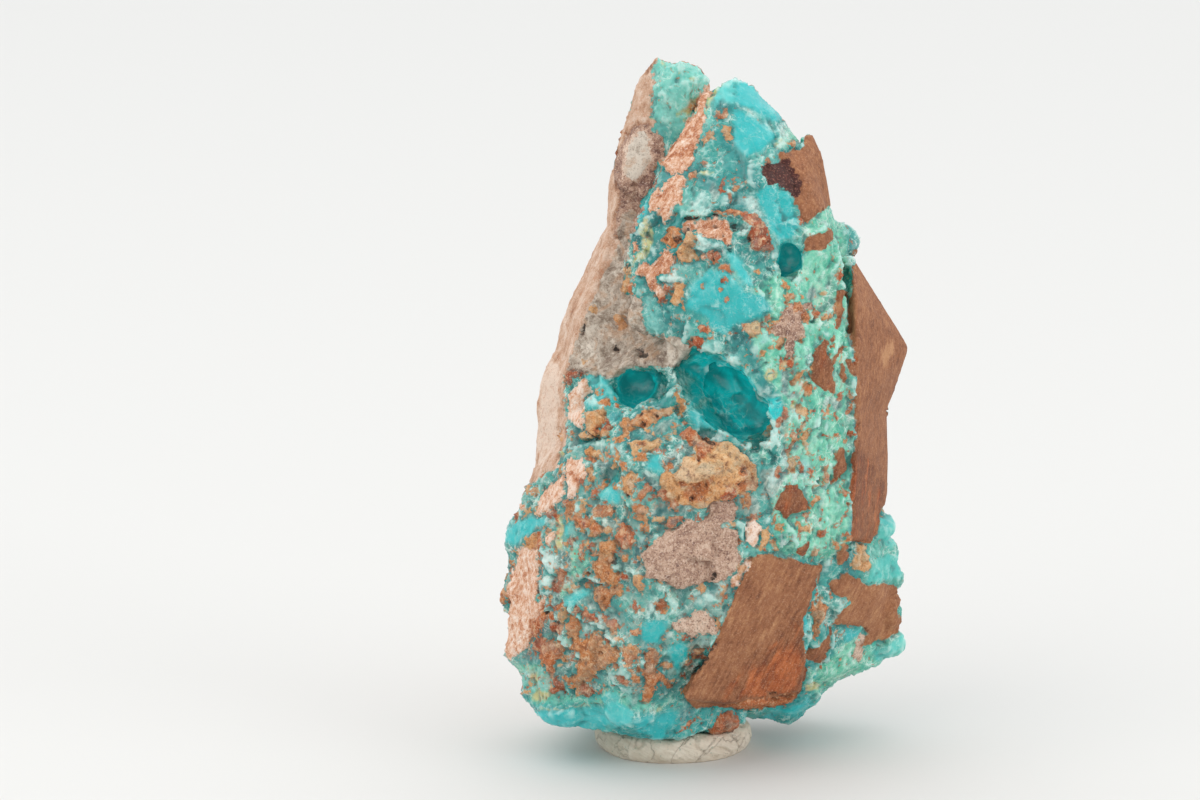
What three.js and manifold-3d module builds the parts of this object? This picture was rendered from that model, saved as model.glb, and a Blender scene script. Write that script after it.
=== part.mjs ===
// A hemimorphite specimen standing on a flattened pat of mineral putty.
//
// The stone is one natural piece: a wedge of brown and grey matrix rock, with turquoise hemimorphite
// grown over its broad front and into its cavities. It is built the way such a stone breaks: blocks
// with flat fracture faces are joined, the surface is roughened, the cleanest fractures are cut flat,
// cavities are hollowed out, and rounded nodules of hemimorphite are grown on the edges.
// The putty is pressed round the stone's lowest point, with a small gap so that the two never overlap.
//
// Units are millimetres, +Z is up, and the show face looks towards -Y.
// The origin lies on the putty's flat underside, a little in front of its centre.

import * as THREE from "three";
import { ConvexGeometry } from "three/addons/geometries/ConvexGeometry.js";
import { TessellateModifier } from "three/addons/modifiers/TessellateModifier.js";
import { ImprovedNoise } from "three/addons/math/ImprovedNoise.js";
import { mergeVertices } from "three/addons/utils/BufferGeometryUtils.js";
import Module from "manifold-3d";

const wasm = await Module();
wasm.setup();

// ---------------------------------------------------------------- driving dimensions, mm

const FACET = 3.3; // longest edge of the roughened rock surface
const COARSE = { size: 6.5, height: 0.5, shift: 11.3 }; // broad swells of the rock
const FINE = { size: 2.6, height: 0.32, shift: 47.9 }; // hackly texture of the broken surface
const BALL = { detail: 2, size: 0.62, swelling: 0.14 }; // how a nodule or a cavity is faceted and dented
const ROOTED = 2.5; // how deep a proud lump of ochre reaches into the rock
const SHOULDER = 0.35; // how far up its height a proud lump's rim stands
const TAPER = 0.3; // how much smaller a proud lump's crown is than its rim
const SHORTEST = 0.6; // edges shorter than this are drawn together to one point

// foot: how far the flat underside stops short of the rim. crest: the same for the top.
// back: how far the pat reaches out further behind the origin than in front of it.
const PUTTY = { width: 15, depth: 13.4, thickness: 2.5, foot: 0.45, crest: 1.1, back: 0.8 };
const PUTTY_RIM = { sides: 32, steps: 4, bulge: 0.25, sway: 0.02 };
const GAP = 0.3; // between the putty and the stone

// The show face is set out as it appears from here: a corner is given by where it shows on the
// upright plane through the origin, across and up, and by its depth y behind that plane.
const EYE = new THREE.Vector3(-7, -401.5, 112);

function seen([across, up, depth]) {
  const t = (depth - EYE.y) / -EYE.y;
  return new THREE.Vector3(
    EYE.x + (across - EYE.x) * t,
    depth,
    EYE.z + (up - EYE.z) * t,
  );
}

// ---------------------------------------------------------------- rough blocks: [across, up, depth]

// The matrix slab behind: a tan strip down the left edge, the grey face beside it, and the back.
const REAR_TOP = [
  [-1.6, 66.6, 5], [-2.8, 65.8, 6], [-3.4, 63.5, 6.5], [-3.8, 61, 6.5], [-5.2, 58.2, 6], [-6.3, 55.8, 6],
  [-6.5, 52.5, 5.5], [-6.7, 49, 5], [0.6, 65.6, 7], [2, 64.6, 8], [2.8, 63, 8],
  [-3.1, 60.5, 4], [-5.3, 54, 2.7], [-5.8, 50, 2], [0, 48, -0.2], [3, 56, 1.2], [1.6, 61.6, 2.2],
  [-4, 50, 13], [0, 58, 11.5], [3, 61, 10], [8, 50, 13], [-6, 46, 12.5],
];
const REAR_SLAB = [
  [-6.5, 51, 5.2], [-8.6, 45.2, 5], [-10.8, 40.3, 4.6], [-12.1, 36.8, 4], [-12.7, 33, 3.4],
  [-12.6, 29, 3], [-13.2, 26, 2.6],
  [-5.9, 51, 2.2], [-7.6, 45, 1], [-9.2, 40, -0.2], [-10.2, 35.5, -1.4], [-10.3, 28, -3.2],
  [1.5, 37.5, -3.4], [0, 46, -0.6],
  [-10.5, 24, 12], [-7.5, 34, 13.5], [-6.5, 45, 13], [-3, 50, 12.5],
  [3, 26, 16], [9, 50, 12], [14, 40, 12.5], [13, 26, 14],
];

// The upper half of the show face: peach rock down its left edge and a turquoise peak.
const UPPER_FRONT = [
  [3.6, 64, 0.4], [5, 64.4, 0], [7, 64, 1], [8.3, 62.5, 1.6], [9.6, 60.4, 2.2], [11.4, 59.8, 1.4],
  [13.4, 57, 0.8], [14, 54.5, 0.6], [14.7, 51.3, 0.8], [15.3, 49, 0],
  [2.6, 63.2, -0.6], [0.8, 60, -2.2], [-0.6, 57, -3.2], [-2.2, 54, -4], [-3.6, 51, -4.6],
  [-4.6, 47.5, -5.2], [-4.4, 45.5, -5.6], [-3.2, 42, -6],
  [5.5, 60, -3], [7.5, 55, -6], [3, 50, -9.2], [6, 44.6, -10.6], [0.6, 42, -8.8], [10, 43, -9.8],
  [12.4, 54.6, -5.4], [13.6, 48.6, -6.8], [15.8, 46.4, -5.4],
  [0.5, 38.8, -8], [5, 38.4, -10.4], [8.5, 36.5, -10.8],
  [6, 57.6, 8], [12, 52, 8], [14, 44, 10], [0, 43, 6], [10, 36, 10],
];

// The right half of the middle: a panel of veined rock that ends at a sharp upright edge.
const MIDDLE_RIGHT = [
  [15.8, 46.4, -5.4], [16.6, 38, -6.3], [16.7, 28, -6.5], [16.6, 19.4, -6.3],
  [9.6, 45, -9.8], [9.4, 36, -11], [9, 25, -11.8], [7.8, 19, -11.8], [12, 20, -10.4], [13, 38, -9.5],
  [3.6, 30.4, -10.8], [5, 20, -11.6], [5, 12, -4],
  [16, 44, 9], [17, 40, 10], [17, 22, 10], [4, 36, 14], [4, 20, 14], [8, 45, 10],
];

// What is left between them, which the cavities are hollowed out of.
const CORE = [
  [-7.5, 29, -5], [-7, 36.4, -4.4], [0, 40, -6.6], [9, 42, -8.8], [9, 29, -10],
  [1.5, 37.8, -7.8], [1, 30, -9.4],
  [-6, 30, 8], [-6, 40, 8], [9, 42, 8], [9, 29, 8],
];

// The heavy lower left: a peach edge, a bulging speckled front and a turquoise underside.
const LOWER_FRONT = [
  [-13.2, 3.4, -3], [-11.6, 2.5, -5], [-8, 2.5, -7], [-4, 2, -8.2], [-1.4, 0.9, -7.4], [0.5, 1.3, -6.6],
  [7.2, 2.2, -3], [7.6, 4.4, -4],
  [-14.7, 6.3, -2], [-15.6, 9.3, -1.4], [-16.2, 13.5, -0.6], [-16.1, 17, 0], [-15.5, 20.7, 0.4],
  [-13.7, 25.6, 2],
  [-12.5, 8, -7], [-12.3, 15, -8.6], [-11.9, 20.6, -8.2], [-9.8, 27.2, -8], [-9.4, 32.8, -5.8],
  [-7.4, 34.2, -6.6], [-1, 33.6, -9.6], [1.5, 31, -11.2],
  [-4, 9.6, -12.6], [-2, 20.4, -13.4], [-5, 27, -12], [3, 24, -12.8], [7.4, 19.6, -11.8], [3.6, 12, -11.6],
  [-11.5, 9.5, 9], [-12, 24, 10], [-8.5, 5, 10], [-8, 32, 12], [5, 5, 11], [6, 30, 12], [2, 16, 14.5],
];

// The lower right: the foot behind the putty and the corner that overhangs on the right.
const LOWER_RIGHT = [
  [13, 19, -6.4], [16.6, 19.6, -5.6], [19.4, 20.8, 1.5], [20.5, 19.2, 3], [21, 16.5, 3.4], [21.3, 12, 4.2],
  [21, 10.2, 4.6], [19.4, 8.8, 4], [17.2, 7.8, 3], [15.2, 6.5, 2.2], [13.4, 4.6, 2.4], [12, 3.4, 3.2],
  [10, 2.9, 4], [7.4, 3, 2.6],
  [12.6, 12, -5], [11.8, 6.4, -3], [6, 4.6, -4], [5, 12, 0], [8, 20, 0],
  [17, 18, 11], [15.5, 10, 11], [10, 6, 12], [19, 14, 9],
];

// ---------------------------------------------------------------- blocks with clean fracture faces

const CLEAN_BLOCKS = {
  // the brown block in the lower front, whose face leans down to the right
  brownBlock: [
    [8, 18.9, -12.3], [14.2, 18.2, -7.9], [13.1, 13.8, -7.1], [12.7, 10.5, -6.3], [12.1, 5.6, -4.9],
    [7.6, 4.4, -7.5], [1.1, 4.9, -11.9], [3.2, 9.4, -12.1], [5.2, 14, -12.4],
    [2, 6, -5], [8, 18.6, -4], [13, 17.6, -1], [11, 6, 0], [3, 4.6, -5],
  ],
  // the smooth brown plate round the right edge
  plateTop: [
    [16.4, 48, -1.5], [17, 43.6, -5.6], [17.2, 39.3, -6.4], [17.2, 33, -6.6],
    [17.7, 45.6, 1.6], [19.6, 42.2, 3.8], [22, 39, 6.2], [20.7, 34.8, 4.9], [20.1, 33, 4.3],
    [14, 47, 4], [14, 34, 4], [17.5, 41, 10],
  ],
  plateFoot: [
    [17.2, 36, -6.5], [17.2, 31.3, -6.6], [16.9, 24.7, -6.6], [16.9, 20.4, -6.4],
    [19.9, 33.2, 4.1], [20.2, 28.2, 4.2], [20.2, 25.2, 4.1], [19.8, 23.3, 3.8], [19, 20.6, 2.4],
    [14, 35, 4], [14, 21, 4], [17.5, 31, 10], [16.5, 22, 8],
  ],
  // the brown cap on the upper right corner
  cornerCap: [
    [11.2, 58.2, -1.6], [12.6, 59.6, 1], [13.6, 57.6, 0.6], [14.2, 54.6, 0.4], [14.8, 51.6, 0.4],
    [13, 51, -5.6], [12.2, 53.4, -5.6], [12, 56, -4.2], [10, 55, 2],
  ],
};

// ---------------------------------------------------------------- cavities and nodules
// at: the centre. half: half width, half height, half depth. turn: degrees, anticlockwise.
const CAVITIES = [
  { at: [5, 34.2, -8.4], half: [5.9, 2.8, 5.6], turn: -42 }, // the deep turquoise cavity
  { at: [-3.6, 35.3, -6.4], half: [3.1, 2, 3], turn: -6 }, // the shallow one beside it
  { at: [10.7, 47, -9.4], half: [1.3, 1.9, 3.6], turn: 8 },
  { at: [10, 51.4, -8.6], half: [1.7, 2.8, 1.4], turn: 28 },
  { at: [1.6, 50.6, -8.2], half: [3.2, 0.8, 1.3], turn: 6 },
  { at: [-6.2, 26.6, -11.6], half: [1.1, 1.5, 1.8], turn: -20 },
  { at: [2.6, 25.4, -13.8], half: [2.4, 1.4, 1.5], turn: 32 }, // the scoop in the ochre lump
];

const NODULES = [
  { at: [0.5, 62.9, 4.6], half: [2.7, 3.5, 2.4] }, // the turquoise lump at the summit
  { at: [15.1, 48.8, 3.6], half: [2, 2.3, 2.6] }, // a shoulder behind the upper right edge
  { at: [-2.7, 42.4, -5.4], half: [1.6, 2, 1.7] }, // a drip of turquoise over the grey face
  // the knobbly crust on the lower right flank
  { at: [19.3, 21.8, 3], half: [1.7, 1.5, 2] },
  { at: [20.1, 19.2, 3.6], half: [1.4, 1.5, 2.1] },
  { at: [20.2, 16.8, 3.4], half: [1.9, 1.6, 1.8] },
  { at: [20.3, 13.6, 4.2], half: [1.6, 2, 2.2] },
  { at: [20.3, 10.5, 4.8], half: [1.9, 1.7, 2.4] },
  { at: [18, 9, 4.6], half: [2, 1.4, 2.3] },
  { at: [18.8, 20.2, 6.6], half: [1.8, 2, 2.2] },
  { at: [18.6, 16, 7.4], half: [1.9, 2.2, 2.4] },
  { at: [18.4, 12, 7.8], half: [2, 1.9, 2.6] },
  { at: [16.7, 18, 9.4], half: [2.3, 2.5, 2.1] },
  { at: [15.6, 12.8, 9.8], half: [2.5, 2.1, 1.9] },
  { at: [13, 5.6, 3.8], half: [1.6, 1.3, 2.2] },
  { at: [10.6, 3.9, 4.6], half: [2.4, 1.5, 2.2] }, // the foot behind the putty
  // low swellings down the left edge
  { at: [-14.3, 20.2, 0.2], half: [1.7, 2.5, 2.5] },
  { at: [-14.9, 15.4, -0.6], half: [1.5, 2.6, 2.2] },
  { at: [-14.2, 10.2, -1.4], half: [1.7, 2.3, 2.4] },
  { at: [-12.9, 6, -2.6], half: [1.8, 1.9, 2.4] },
  { at: [-10.4, 4, -5.2], half: [2.9, 1.8, 2.6] }, // turquoise lobes along the bottom edge
  { at: [-3.8, 4, -7.8], half: [2.9, 2.1, 2.6] },
];

// Ochre rock that stands proud of the front: a ring of corners, and how far its crown stands out.
const OCHRE_LUMPS = [
  {
    ring: [
      [-0.6, 26.8], [0.4, 28.9], [3.6, 30.6], [6.4, 29.6], [7.6, 27.4], [7.2, 25.4], [4, 24], [1.2, 24.2],
    ],
    proud: 1.3,
  },
  { ring: [[-9.2, 31], [-8.8, 32.8], [-7.6, 33], [-6.8, 31.6], [-7.6, 30]], proud: 1.2 },
  { ring: [[-5, 31.4], [-4.2, 32.8], [-1, 34.2], [0.6, 35.6], [0.8, 33.6], [-2.4, 31.6]], proud: 0.9 },
  { ring: [[-0.9, 50.3], [1, 51.2], [4.6, 51.4], [5.2, 49.8], [3, 48.8], [0, 48.8]], proud: 1 },
  { ring: [[6.3, 51.8], [8.3, 50.6], [8.8, 49], [7.4, 48.4], [6.6, 49.6]], proud: 0.8 },
];

// ---------------------------------------------------------------- helpers

const noise = new ImprovedNoise();

// A closed geometry as a solid that can be joined and cut.
function solidOf(geometry) {
  const bare = geometry.clone();
  bare.deleteAttribute("normal");
  bare.deleteAttribute("uv");
  const merged = mergeVertices(bare, 1e-4);
  return new wasm.Manifold(
    new wasm.Mesh({
      numProp: 3,
      vertProperties: new Float32Array(merged.attributes.position.array),
      triVerts: new Uint32Array(merged.index.array),
    }),
  );
}

function geometryOf(solid) {
  const mesh = solid.getMesh();
  const geometry = new THREE.BufferGeometry();
  geometry.setAttribute("position", new THREE.BufferAttribute(mesh.vertProperties, mesh.numProp));
  geometry.setIndex(new THREE.BufferAttribute(mesh.triVerts, 1));
  geometry.computeVertexNormals();
  return geometry;
}

const joined = (solids) => solids.reduce((a, b) => a.add(b));
const larger = (a, b) => (a.volume() > b.volume() ? a : b);
const largest = (solid) => solid.decompose().reduce(larger); // drops the crumbs that a cut leaves
const block = (corners) => solidOf(new ConvexGeometry(corners.map(seen)));

// Draws the ends of every short edge together, so that the cuts leave no slivers. An edge is only
// closed up where its two ends share exactly the two triangles beside it, so the skin stays closed.
function drawTogether(solid, shortest) {
  const { vertProperties: at, triVerts } = solid.getMesh();
  const triangles = [];
  for (let i = 0; i < triVerts.length; i += 3) triangles.push([...triVerts.slice(i, i + 3)]);
  const around = Array.from({ length: at.length / 3 }, () => new Set());
  triangles.forEach((corners, t) => corners.forEach((v) => around[v].add(t)));
  const place = (v) => new THREE.Vector3().fromArray(at, 3 * v);
  const neighbours = (v) => new Set([...around[v]].flatMap((t) => triangles[t]).filter((n) => n !== v));
  const facing = ([a, b, c]) => place(b).sub(place(a)).cross(place(c).sub(place(a)));

  const edges = triangles.flatMap(([a, b, c]) => [[a, b], [b, c], [c, a]]).filter(([a, b]) => a < b);
  const length = ([a, b]) => place(a).distanceTo(place(b));
  const short = edges.filter((edge) => length(edge) < shortest).sort((p, q) => length(p) - length(q));
  for (const [a, b] of short) {
    const shared = [...around[a]].filter((t) => around[b].has(t));
    if (shared.length !== 2 || length([a, b]) >= shortest) continue;
    const nearB = neighbours(b);
    if ([...neighbours(a)].filter((n) => nearB.has(n)).length !== 2) continue;
    const moved = [...around[a], ...around[b]].filter((t) => !shared.includes(t));
    const before = moved.map((t) => facing(triangles[t]));
    const [wasA, wasB] = [place(a), place(b)];
    const middle = wasA.clone().add(wasB).divideScalar(2);
    middle.toArray(at, 3 * a);
    middle.toArray(at, 3 * b);
    const tiny = shortest * 1e-3;
    if (moved.some((t, i) => before[i].length() > tiny && facing(triangles[t]).dot(before[i]) <= 0)) {
      wasA.toArray(at, 3 * a);
      wasB.toArray(at, 3 * b);
      continue;
    }
    for (const t of shared) for (const v of triangles[t]) around[v].delete(t);
    for (const t of around[b]) {
      triangles[t] = triangles[t].map((v) => (v === b ? a : v));
      around[a].add(t);
    }
    around[b].clear();
    for (const t of shared) triangles[t] = null;
  }
  const geometry = new THREE.BufferGeometry();
  geometry.setAttribute("position", new THREE.BufferAttribute(at, 3));
  geometry.setIndex(triangles.filter(Boolean).flat());
  return solidOf(geometry.toNonIndexed());
}

// Noise from about -1 to 1 at a point, with features of a given size.
function swell({ x, y, z }, size, shift) {
  const STRETCH = 1.6; // the noise itself stays between about -0.6 and 0.6
  return STRETCH * noise.noise(x / size + shift, y / size + 2 * shift, z / size);
}

// Splits a solid's long edges, then moves every vertex in or out by noise, as broken rock is rough.
function roughen(solid) {
  const split = new TessellateModifier(FACET, 12).modify(geometryOf(solid).toNonIndexed());
  split.deleteAttribute("normal");
  const skin = mergeVertices(split, 1e-3);
  skin.computeVertexNormals();
  const { position, normal } = skin.attributes;
  const point = new THREE.Vector3();
  const out = new THREE.Vector3();
  for (let i = 0; i < position.count; i++) {
    point.fromBufferAttribute(position, i);
    out.fromBufferAttribute(normal, i);
    const rise = [COARSE, FINE].map(({ size, height, shift }) => height * swell(point, size, shift));
    point.addScaledVector(out, rise[0] + rise[1]);
    position.setXYZ(i, point.x, point.y, point.z);
  }
  return solidOf(skin);
}

// A lumpy ellipsoid: a nodule to add, or a cavity to take away.
function lumpyBall(half, shift) {
  const ball = new THREE.IcosahedronGeometry(1, BALL.detail);
  const position = ball.attributes.position;
  const point = new THREE.Vector3();
  for (let i = 0; i < position.count; i++) {
    point.fromBufferAttribute(position, i).normalize();
    const swelling = 1 + BALL.swelling * swell(point, BALL.size, shift);
    position.setXYZ(i, ...point.multiplyScalar(swelling).toArray());
  }
  return ball.scale(...half);
}

function lump({ at, half: [width, height, depth], turn = 0 }, index) {
  const ball = lumpyBall([width, depth, height], 9 * index);
  ball.rotateY(-THREE.MathUtils.degToRad(turn));
  return solidOf(ball.translate(...seen(at).toArray()));
}

// Finds the point of the show face that appears at a place, by looking along the line of sight.
function surfaceFinder(solid) {
  const skin = new THREE.Mesh(geometryOf(solid));
  const ray = new THREE.Raycaster();
  return (across, up) => {
    const aim = seen([across, up, 0]).sub(EYE).normalize();
    ray.set(EYE, aim);
    const [hit] = ray.intersectObject(skin);
    return { point: hit.point, aim };
  };
}

// A lump of ochre: its roots in the rock, its rim just proud of it, and its crown in front of that.
function ochreLump({ ring, proud }, find) {
  const found = ring.map(([across, up]) => find(across, up));
  const roots = found.map(({ point, aim }) => point.clone().addScaledVector(aim, ROOTED));
  const rim = found.map(({ point, aim }) => point.clone().addScaledVector(aim, -SHOULDER * proud));
  const middle = [...roots, ...rim].reduce((sum, p) => sum.add(p), new THREE.Vector3());
  middle.divideScalar(2 * ring.length);
  const forward = new THREE.Vector3(0, -proud, 0);
  const crown = rim.map((p) => p.clone().lerp(middle, TAPER).add(forward));
  return solidOf(new ConvexGeometry([...roots, ...rim, ...crown]));
}

// ---------------------------------------------------------------- the stone

function stone() {
  const blocks = [REAR_TOP, REAR_SLAB, UPPER_FRONT, MIDDLE_RIGHT, CORE, LOWER_FRONT, LOWER_RIGHT];
  const rough = roughen(joined(blocks.map(block)));
  const body = joined([rough, ...Object.values(CLEAN_BLOCKS).map(block)]);
  const find = surfaceFinder(body);
  const lumps = OCHRE_LUMPS.map((ring) => ochreLump(ring, find));
  const grown = joined([body, ...NODULES.map(lump), ...lumps]);
  return drawTogether(largest(grown.subtract(joined(CAVITIES.map(lump)))), SHORTEST);
}

// ---------------------------------------------------------------- the putty

// A ball of putty pressed flat by the stone: a disc with a rounded, slightly uneven rim.
function putty(rock) {
  const { width, depth, thickness, foot, crest, back } = PUTTY;
  const { sides, steps, bulge, sway } = PUTTY_RIM;
  const radius = width / 2;
  const profile = new THREE.Path();
  profile.moveTo(0, 0);
  profile.lineTo(radius - foot, 0);
  profile.bezierCurveTo(
    radius + bulge, thickness / 4,
    radius + bulge, thickness - bulge,
    radius - crest, thickness,
  );
  profile.lineTo(0, thickness);
  const disc = new THREE.LatheGeometry(profile.getPoints(steps), sides).rotateX(Math.PI / 2);
  const position = disc.attributes.position;
  for (let i = 0; i < position.count; i++) {
    const [x, y, z] = [position.getX(i), position.getY(i), position.getZ(i)];
    const angle = Math.atan2(y, x);
    const swing = 1 + sway * (Math.sin(3 * angle + 0.7) + 0.6 * Math.sin(5 * angle));
    position.setXYZ(i, x * swing, (y * swing * depth) / width + back, Math.abs(z));
  }
  let pat = solidOf(disc);
  for (const [x, y] of [[0, 0], [GAP, 0], [-GAP, 0], [0, GAP], [0, -GAP]])
    pat = pat.subtract(rock.translate([x, y, -GAP]));
  return drawTogether(largest(pat), SHORTEST);
}

// ---------------------------------------------------------------- the model

const materials = {
  stone: new THREE.MeshStandardMaterial({ color: 0x4fb3ac, roughness: 0.55, metalness: 0 }),
  putty: new THREE.MeshStandardMaterial({ color: 0xd9cbb8, roughness: 0.85, metalness: 0 }),
};

function named(name, solid, material) {
  const mesh = new THREE.Mesh(geometryOf(solid), material);
  mesh.name = name;
  return mesh;
}

const rock = stone();
const specimen = new THREE.Group();
specimen.add(named("hemimorphite_stone", rock, materials.stone));
specimen.add(named("putty_pat", putty(rock), materials.putty));

export default specimen;
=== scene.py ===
# %% [markdown]
# # A hemimorphite specimen on its pat of putty
#
# A wedge of brown and grey rock, broken through and through with chips of orange clay-stone, has been
# healed by turquoise hemimorphite. It stands on end on a pinch of off-white putty.
#
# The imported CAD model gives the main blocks, the cavities and the nodules. This lesson turns them into
# a stone: the skin is made fine enough to sculpt, every kind of rock is set in its place, each kind gets
# its own relief, and one material reads the same map to give each kind its own colour and gloss.

# %% Load the frame
import math

import bmesh
import bpy
import numpy as np
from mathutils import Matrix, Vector, noise


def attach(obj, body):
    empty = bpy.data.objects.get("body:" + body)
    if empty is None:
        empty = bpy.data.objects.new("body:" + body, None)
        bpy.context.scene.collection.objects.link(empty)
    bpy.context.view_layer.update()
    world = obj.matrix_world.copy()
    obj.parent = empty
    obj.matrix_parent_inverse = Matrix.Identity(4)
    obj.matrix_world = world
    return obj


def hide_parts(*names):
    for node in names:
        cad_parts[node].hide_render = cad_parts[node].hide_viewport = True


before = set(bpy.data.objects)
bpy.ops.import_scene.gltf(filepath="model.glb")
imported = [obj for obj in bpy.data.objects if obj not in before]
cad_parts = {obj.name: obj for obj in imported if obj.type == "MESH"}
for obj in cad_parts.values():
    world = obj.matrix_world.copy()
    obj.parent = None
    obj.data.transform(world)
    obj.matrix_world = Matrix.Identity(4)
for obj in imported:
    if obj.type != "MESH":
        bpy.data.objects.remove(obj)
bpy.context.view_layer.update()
MM = 0.001
print("frame loaded, nodes:", sorted(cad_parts))

# %% [markdown]
# ## The camera
#
# The stone is seen from a little above, through a long lens, so its upright edges stay upright. The eye's
# place in millimetres is kept, because the map of the rock is laid out as it shows from here.

# %% Add an object
def add_object(name, data):
    """A new object in the scene, from a mesh, lens or lamp."""
    thing = bpy.data.objects.new(name, data)
    bpy.context.collection.objects.link(thing)
    return thing


# %% Camera
AIM = Vector((-7, 0, 34)) * MM
ELEVATION = math.radians(11)
DISTANCE = 409 * MM
FOCAL_LENGTH = 130
SENSOR_WIDTH = 36

eye = AIM + DISTANCE * Vector((0, -math.cos(ELEVATION), math.sin(ELEVATION)))
lens = bpy.data.cameras.new("camera")
lens.lens = FOCAL_LENGTH
lens.sensor_width = SENSOR_WIDTH
lens.clip_start = 0.01
camera = add_object("camera", lens)
camera.location = eye
camera.rotation_euler = (AIM - eye).to_track_quat("-Z", "Y").to_euler()
bpy.context.scene.camera = camera
print("eye at", [round(c / MM, 1) for c in eye], "mm")

# %% [markdown]
# ## The floor and the light
#
# A small stone like this is shown on a white sheet in a light tent. A wide disc is the sheet: from this
# height the whole background is the sheet, so it needs no back wall. A big ceiling lamp and a soft key lamp
# on the left give the open shadows, a smaller lamp fills the right side, and the pale world fills the rest.

# %% Colours
def linear(code):
    """A colour code such as '#3cc6c8' as the linear values that a shader needs."""
    parts = [int(code[i : i + 2], 16) / 255 for i in (1, 3, 5)]
    return [p / 12.92 if p <= 0.04045 else ((p + 0.055) / 1.055) ** 2.4 for p in parts] + [1]


print("turquoise is", [round(v, 3) for v in linear("#3cc6c8")[:3]])

# %% Floor
FLOOR_RADIUS = 2.5


def new_material(name):
    """A material with a node tree, and its shader."""
    material = bpy.data.materials.new(name)
    material.use_nodes = True
    return material, material.node_tree.nodes["Principled BSDF"]


sheet = bmesh.new()
bmesh.ops.create_circle(sheet, cap_ends=True, segments=96, radius=FLOOR_RADIUS)
floor_mesh = bpy.data.meshes.new("floor")
sheet.to_mesh(floor_mesh)
sheet.free()
floor = add_object("floor", floor_mesh)
floor_finish, shader = new_material("white_sheet")
shader.inputs["Base Color"].default_value = linear("#d9d9d7")
shader.inputs["Roughness"].default_value = 0.75
floor_mesh.materials.append(floor_finish)
print("floor of", 2 * FLOOR_RADIUS, "m")

# %% Lamps and world
MIDDLE = Vector((0, 0, 30)) * MM


def lamp(name, where, size, power, tint="#ffffff"):
    """A square soft lamp that looks at the middle of the stone."""
    data = bpy.data.lights.new(name, "AREA")
    data.size = size
    data.energy = power
    data.color = linear(tint)[:3]
    thing = add_object(name, data)
    thing.location = where
    thing.rotation_euler = (MIDDLE - Vector(where)).to_track_quat("-Z", "Y").to_euler()


lamp("key", (-0.5, -0.4, 0.6), 0.7, 2.0, "#fffaf4")
lamp("fill", (0.7, -0.4, 0.3), 0.5, 1.6)
lamp("ceiling", (0, 0.7, 1.6), 3, 19)
world = bpy.data.worlds.new("tent")
world.use_nodes = True
background = world.node_tree.nodes["Background"]
background.inputs["Color"].default_value = linear("#f7f8f9")
background.inputs["Strength"].default_value = 0.88
bpy.context.scene.world = world
bpy.context.scene.view_settings.view_transform = "Standard"

# %% [markdown]
# ## A skin that can be sculpted
#
# The CAD solid is made of large flat facets. A copy of it is welded, since its triangles come loose, and a
# voxel remesh covers it with even small faces. Smoothing rounds the facets where the rock is rough, and
# leaves the clean fracture faces alone.

# %% Weld and remesh
VOXEL = 0.27 * MM
WELD = 0.002 * MM


def welded_copy(node, name):
    """A joined copy of a CAD node's loose triangles, as a new object at the origin."""
    loose = bmesh.new()
    loose.from_mesh(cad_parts[node].data)
    bmesh.ops.remove_doubles(loose, verts=loose.verts, dist=WELD)
    mesh = bpy.data.meshes.new(name)
    loose.to_mesh(mesh)
    loose.free()
    mesh.materials.clear()
    return add_object(name, mesh)


def apply_modifiers(thing):
    """Makes what the modifiers of an object give its own mesh."""
    now = bpy.context.evaluated_depsgraph_get()
    applied = bpy.data.meshes.new_from_object(thing.evaluated_get(now))
    thing.modifiers.clear()
    thing.data = applied


def remeshed(thing, voxel):
    """Covers a closed piece with even faces of about one voxel across."""
    skin = thing.modifiers.new("skin", "REMESH")
    skin.mode = "VOXEL"
    skin.voxel_size = voxel
    apply_modifiers(thing)
    return thing


stone = remeshed(welded_copy("hemimorphite_stone", "stone"), VOXEL)
print("stone skin:", len(stone.data.vertices), "points,", len(stone.data.polygons), "faces")

# %% [markdown]
# ## The map of the rock
#
# Each kind of rock has its own list of patches. A patch is a tone, from -1 for dark to 1 for pale, and the
# corners of its outline, across and up in millimetres as it shows from the camera. A patch with one
# corner and a radius is a round chip. Outlines are only rough: noise breaks their edges later.

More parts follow.
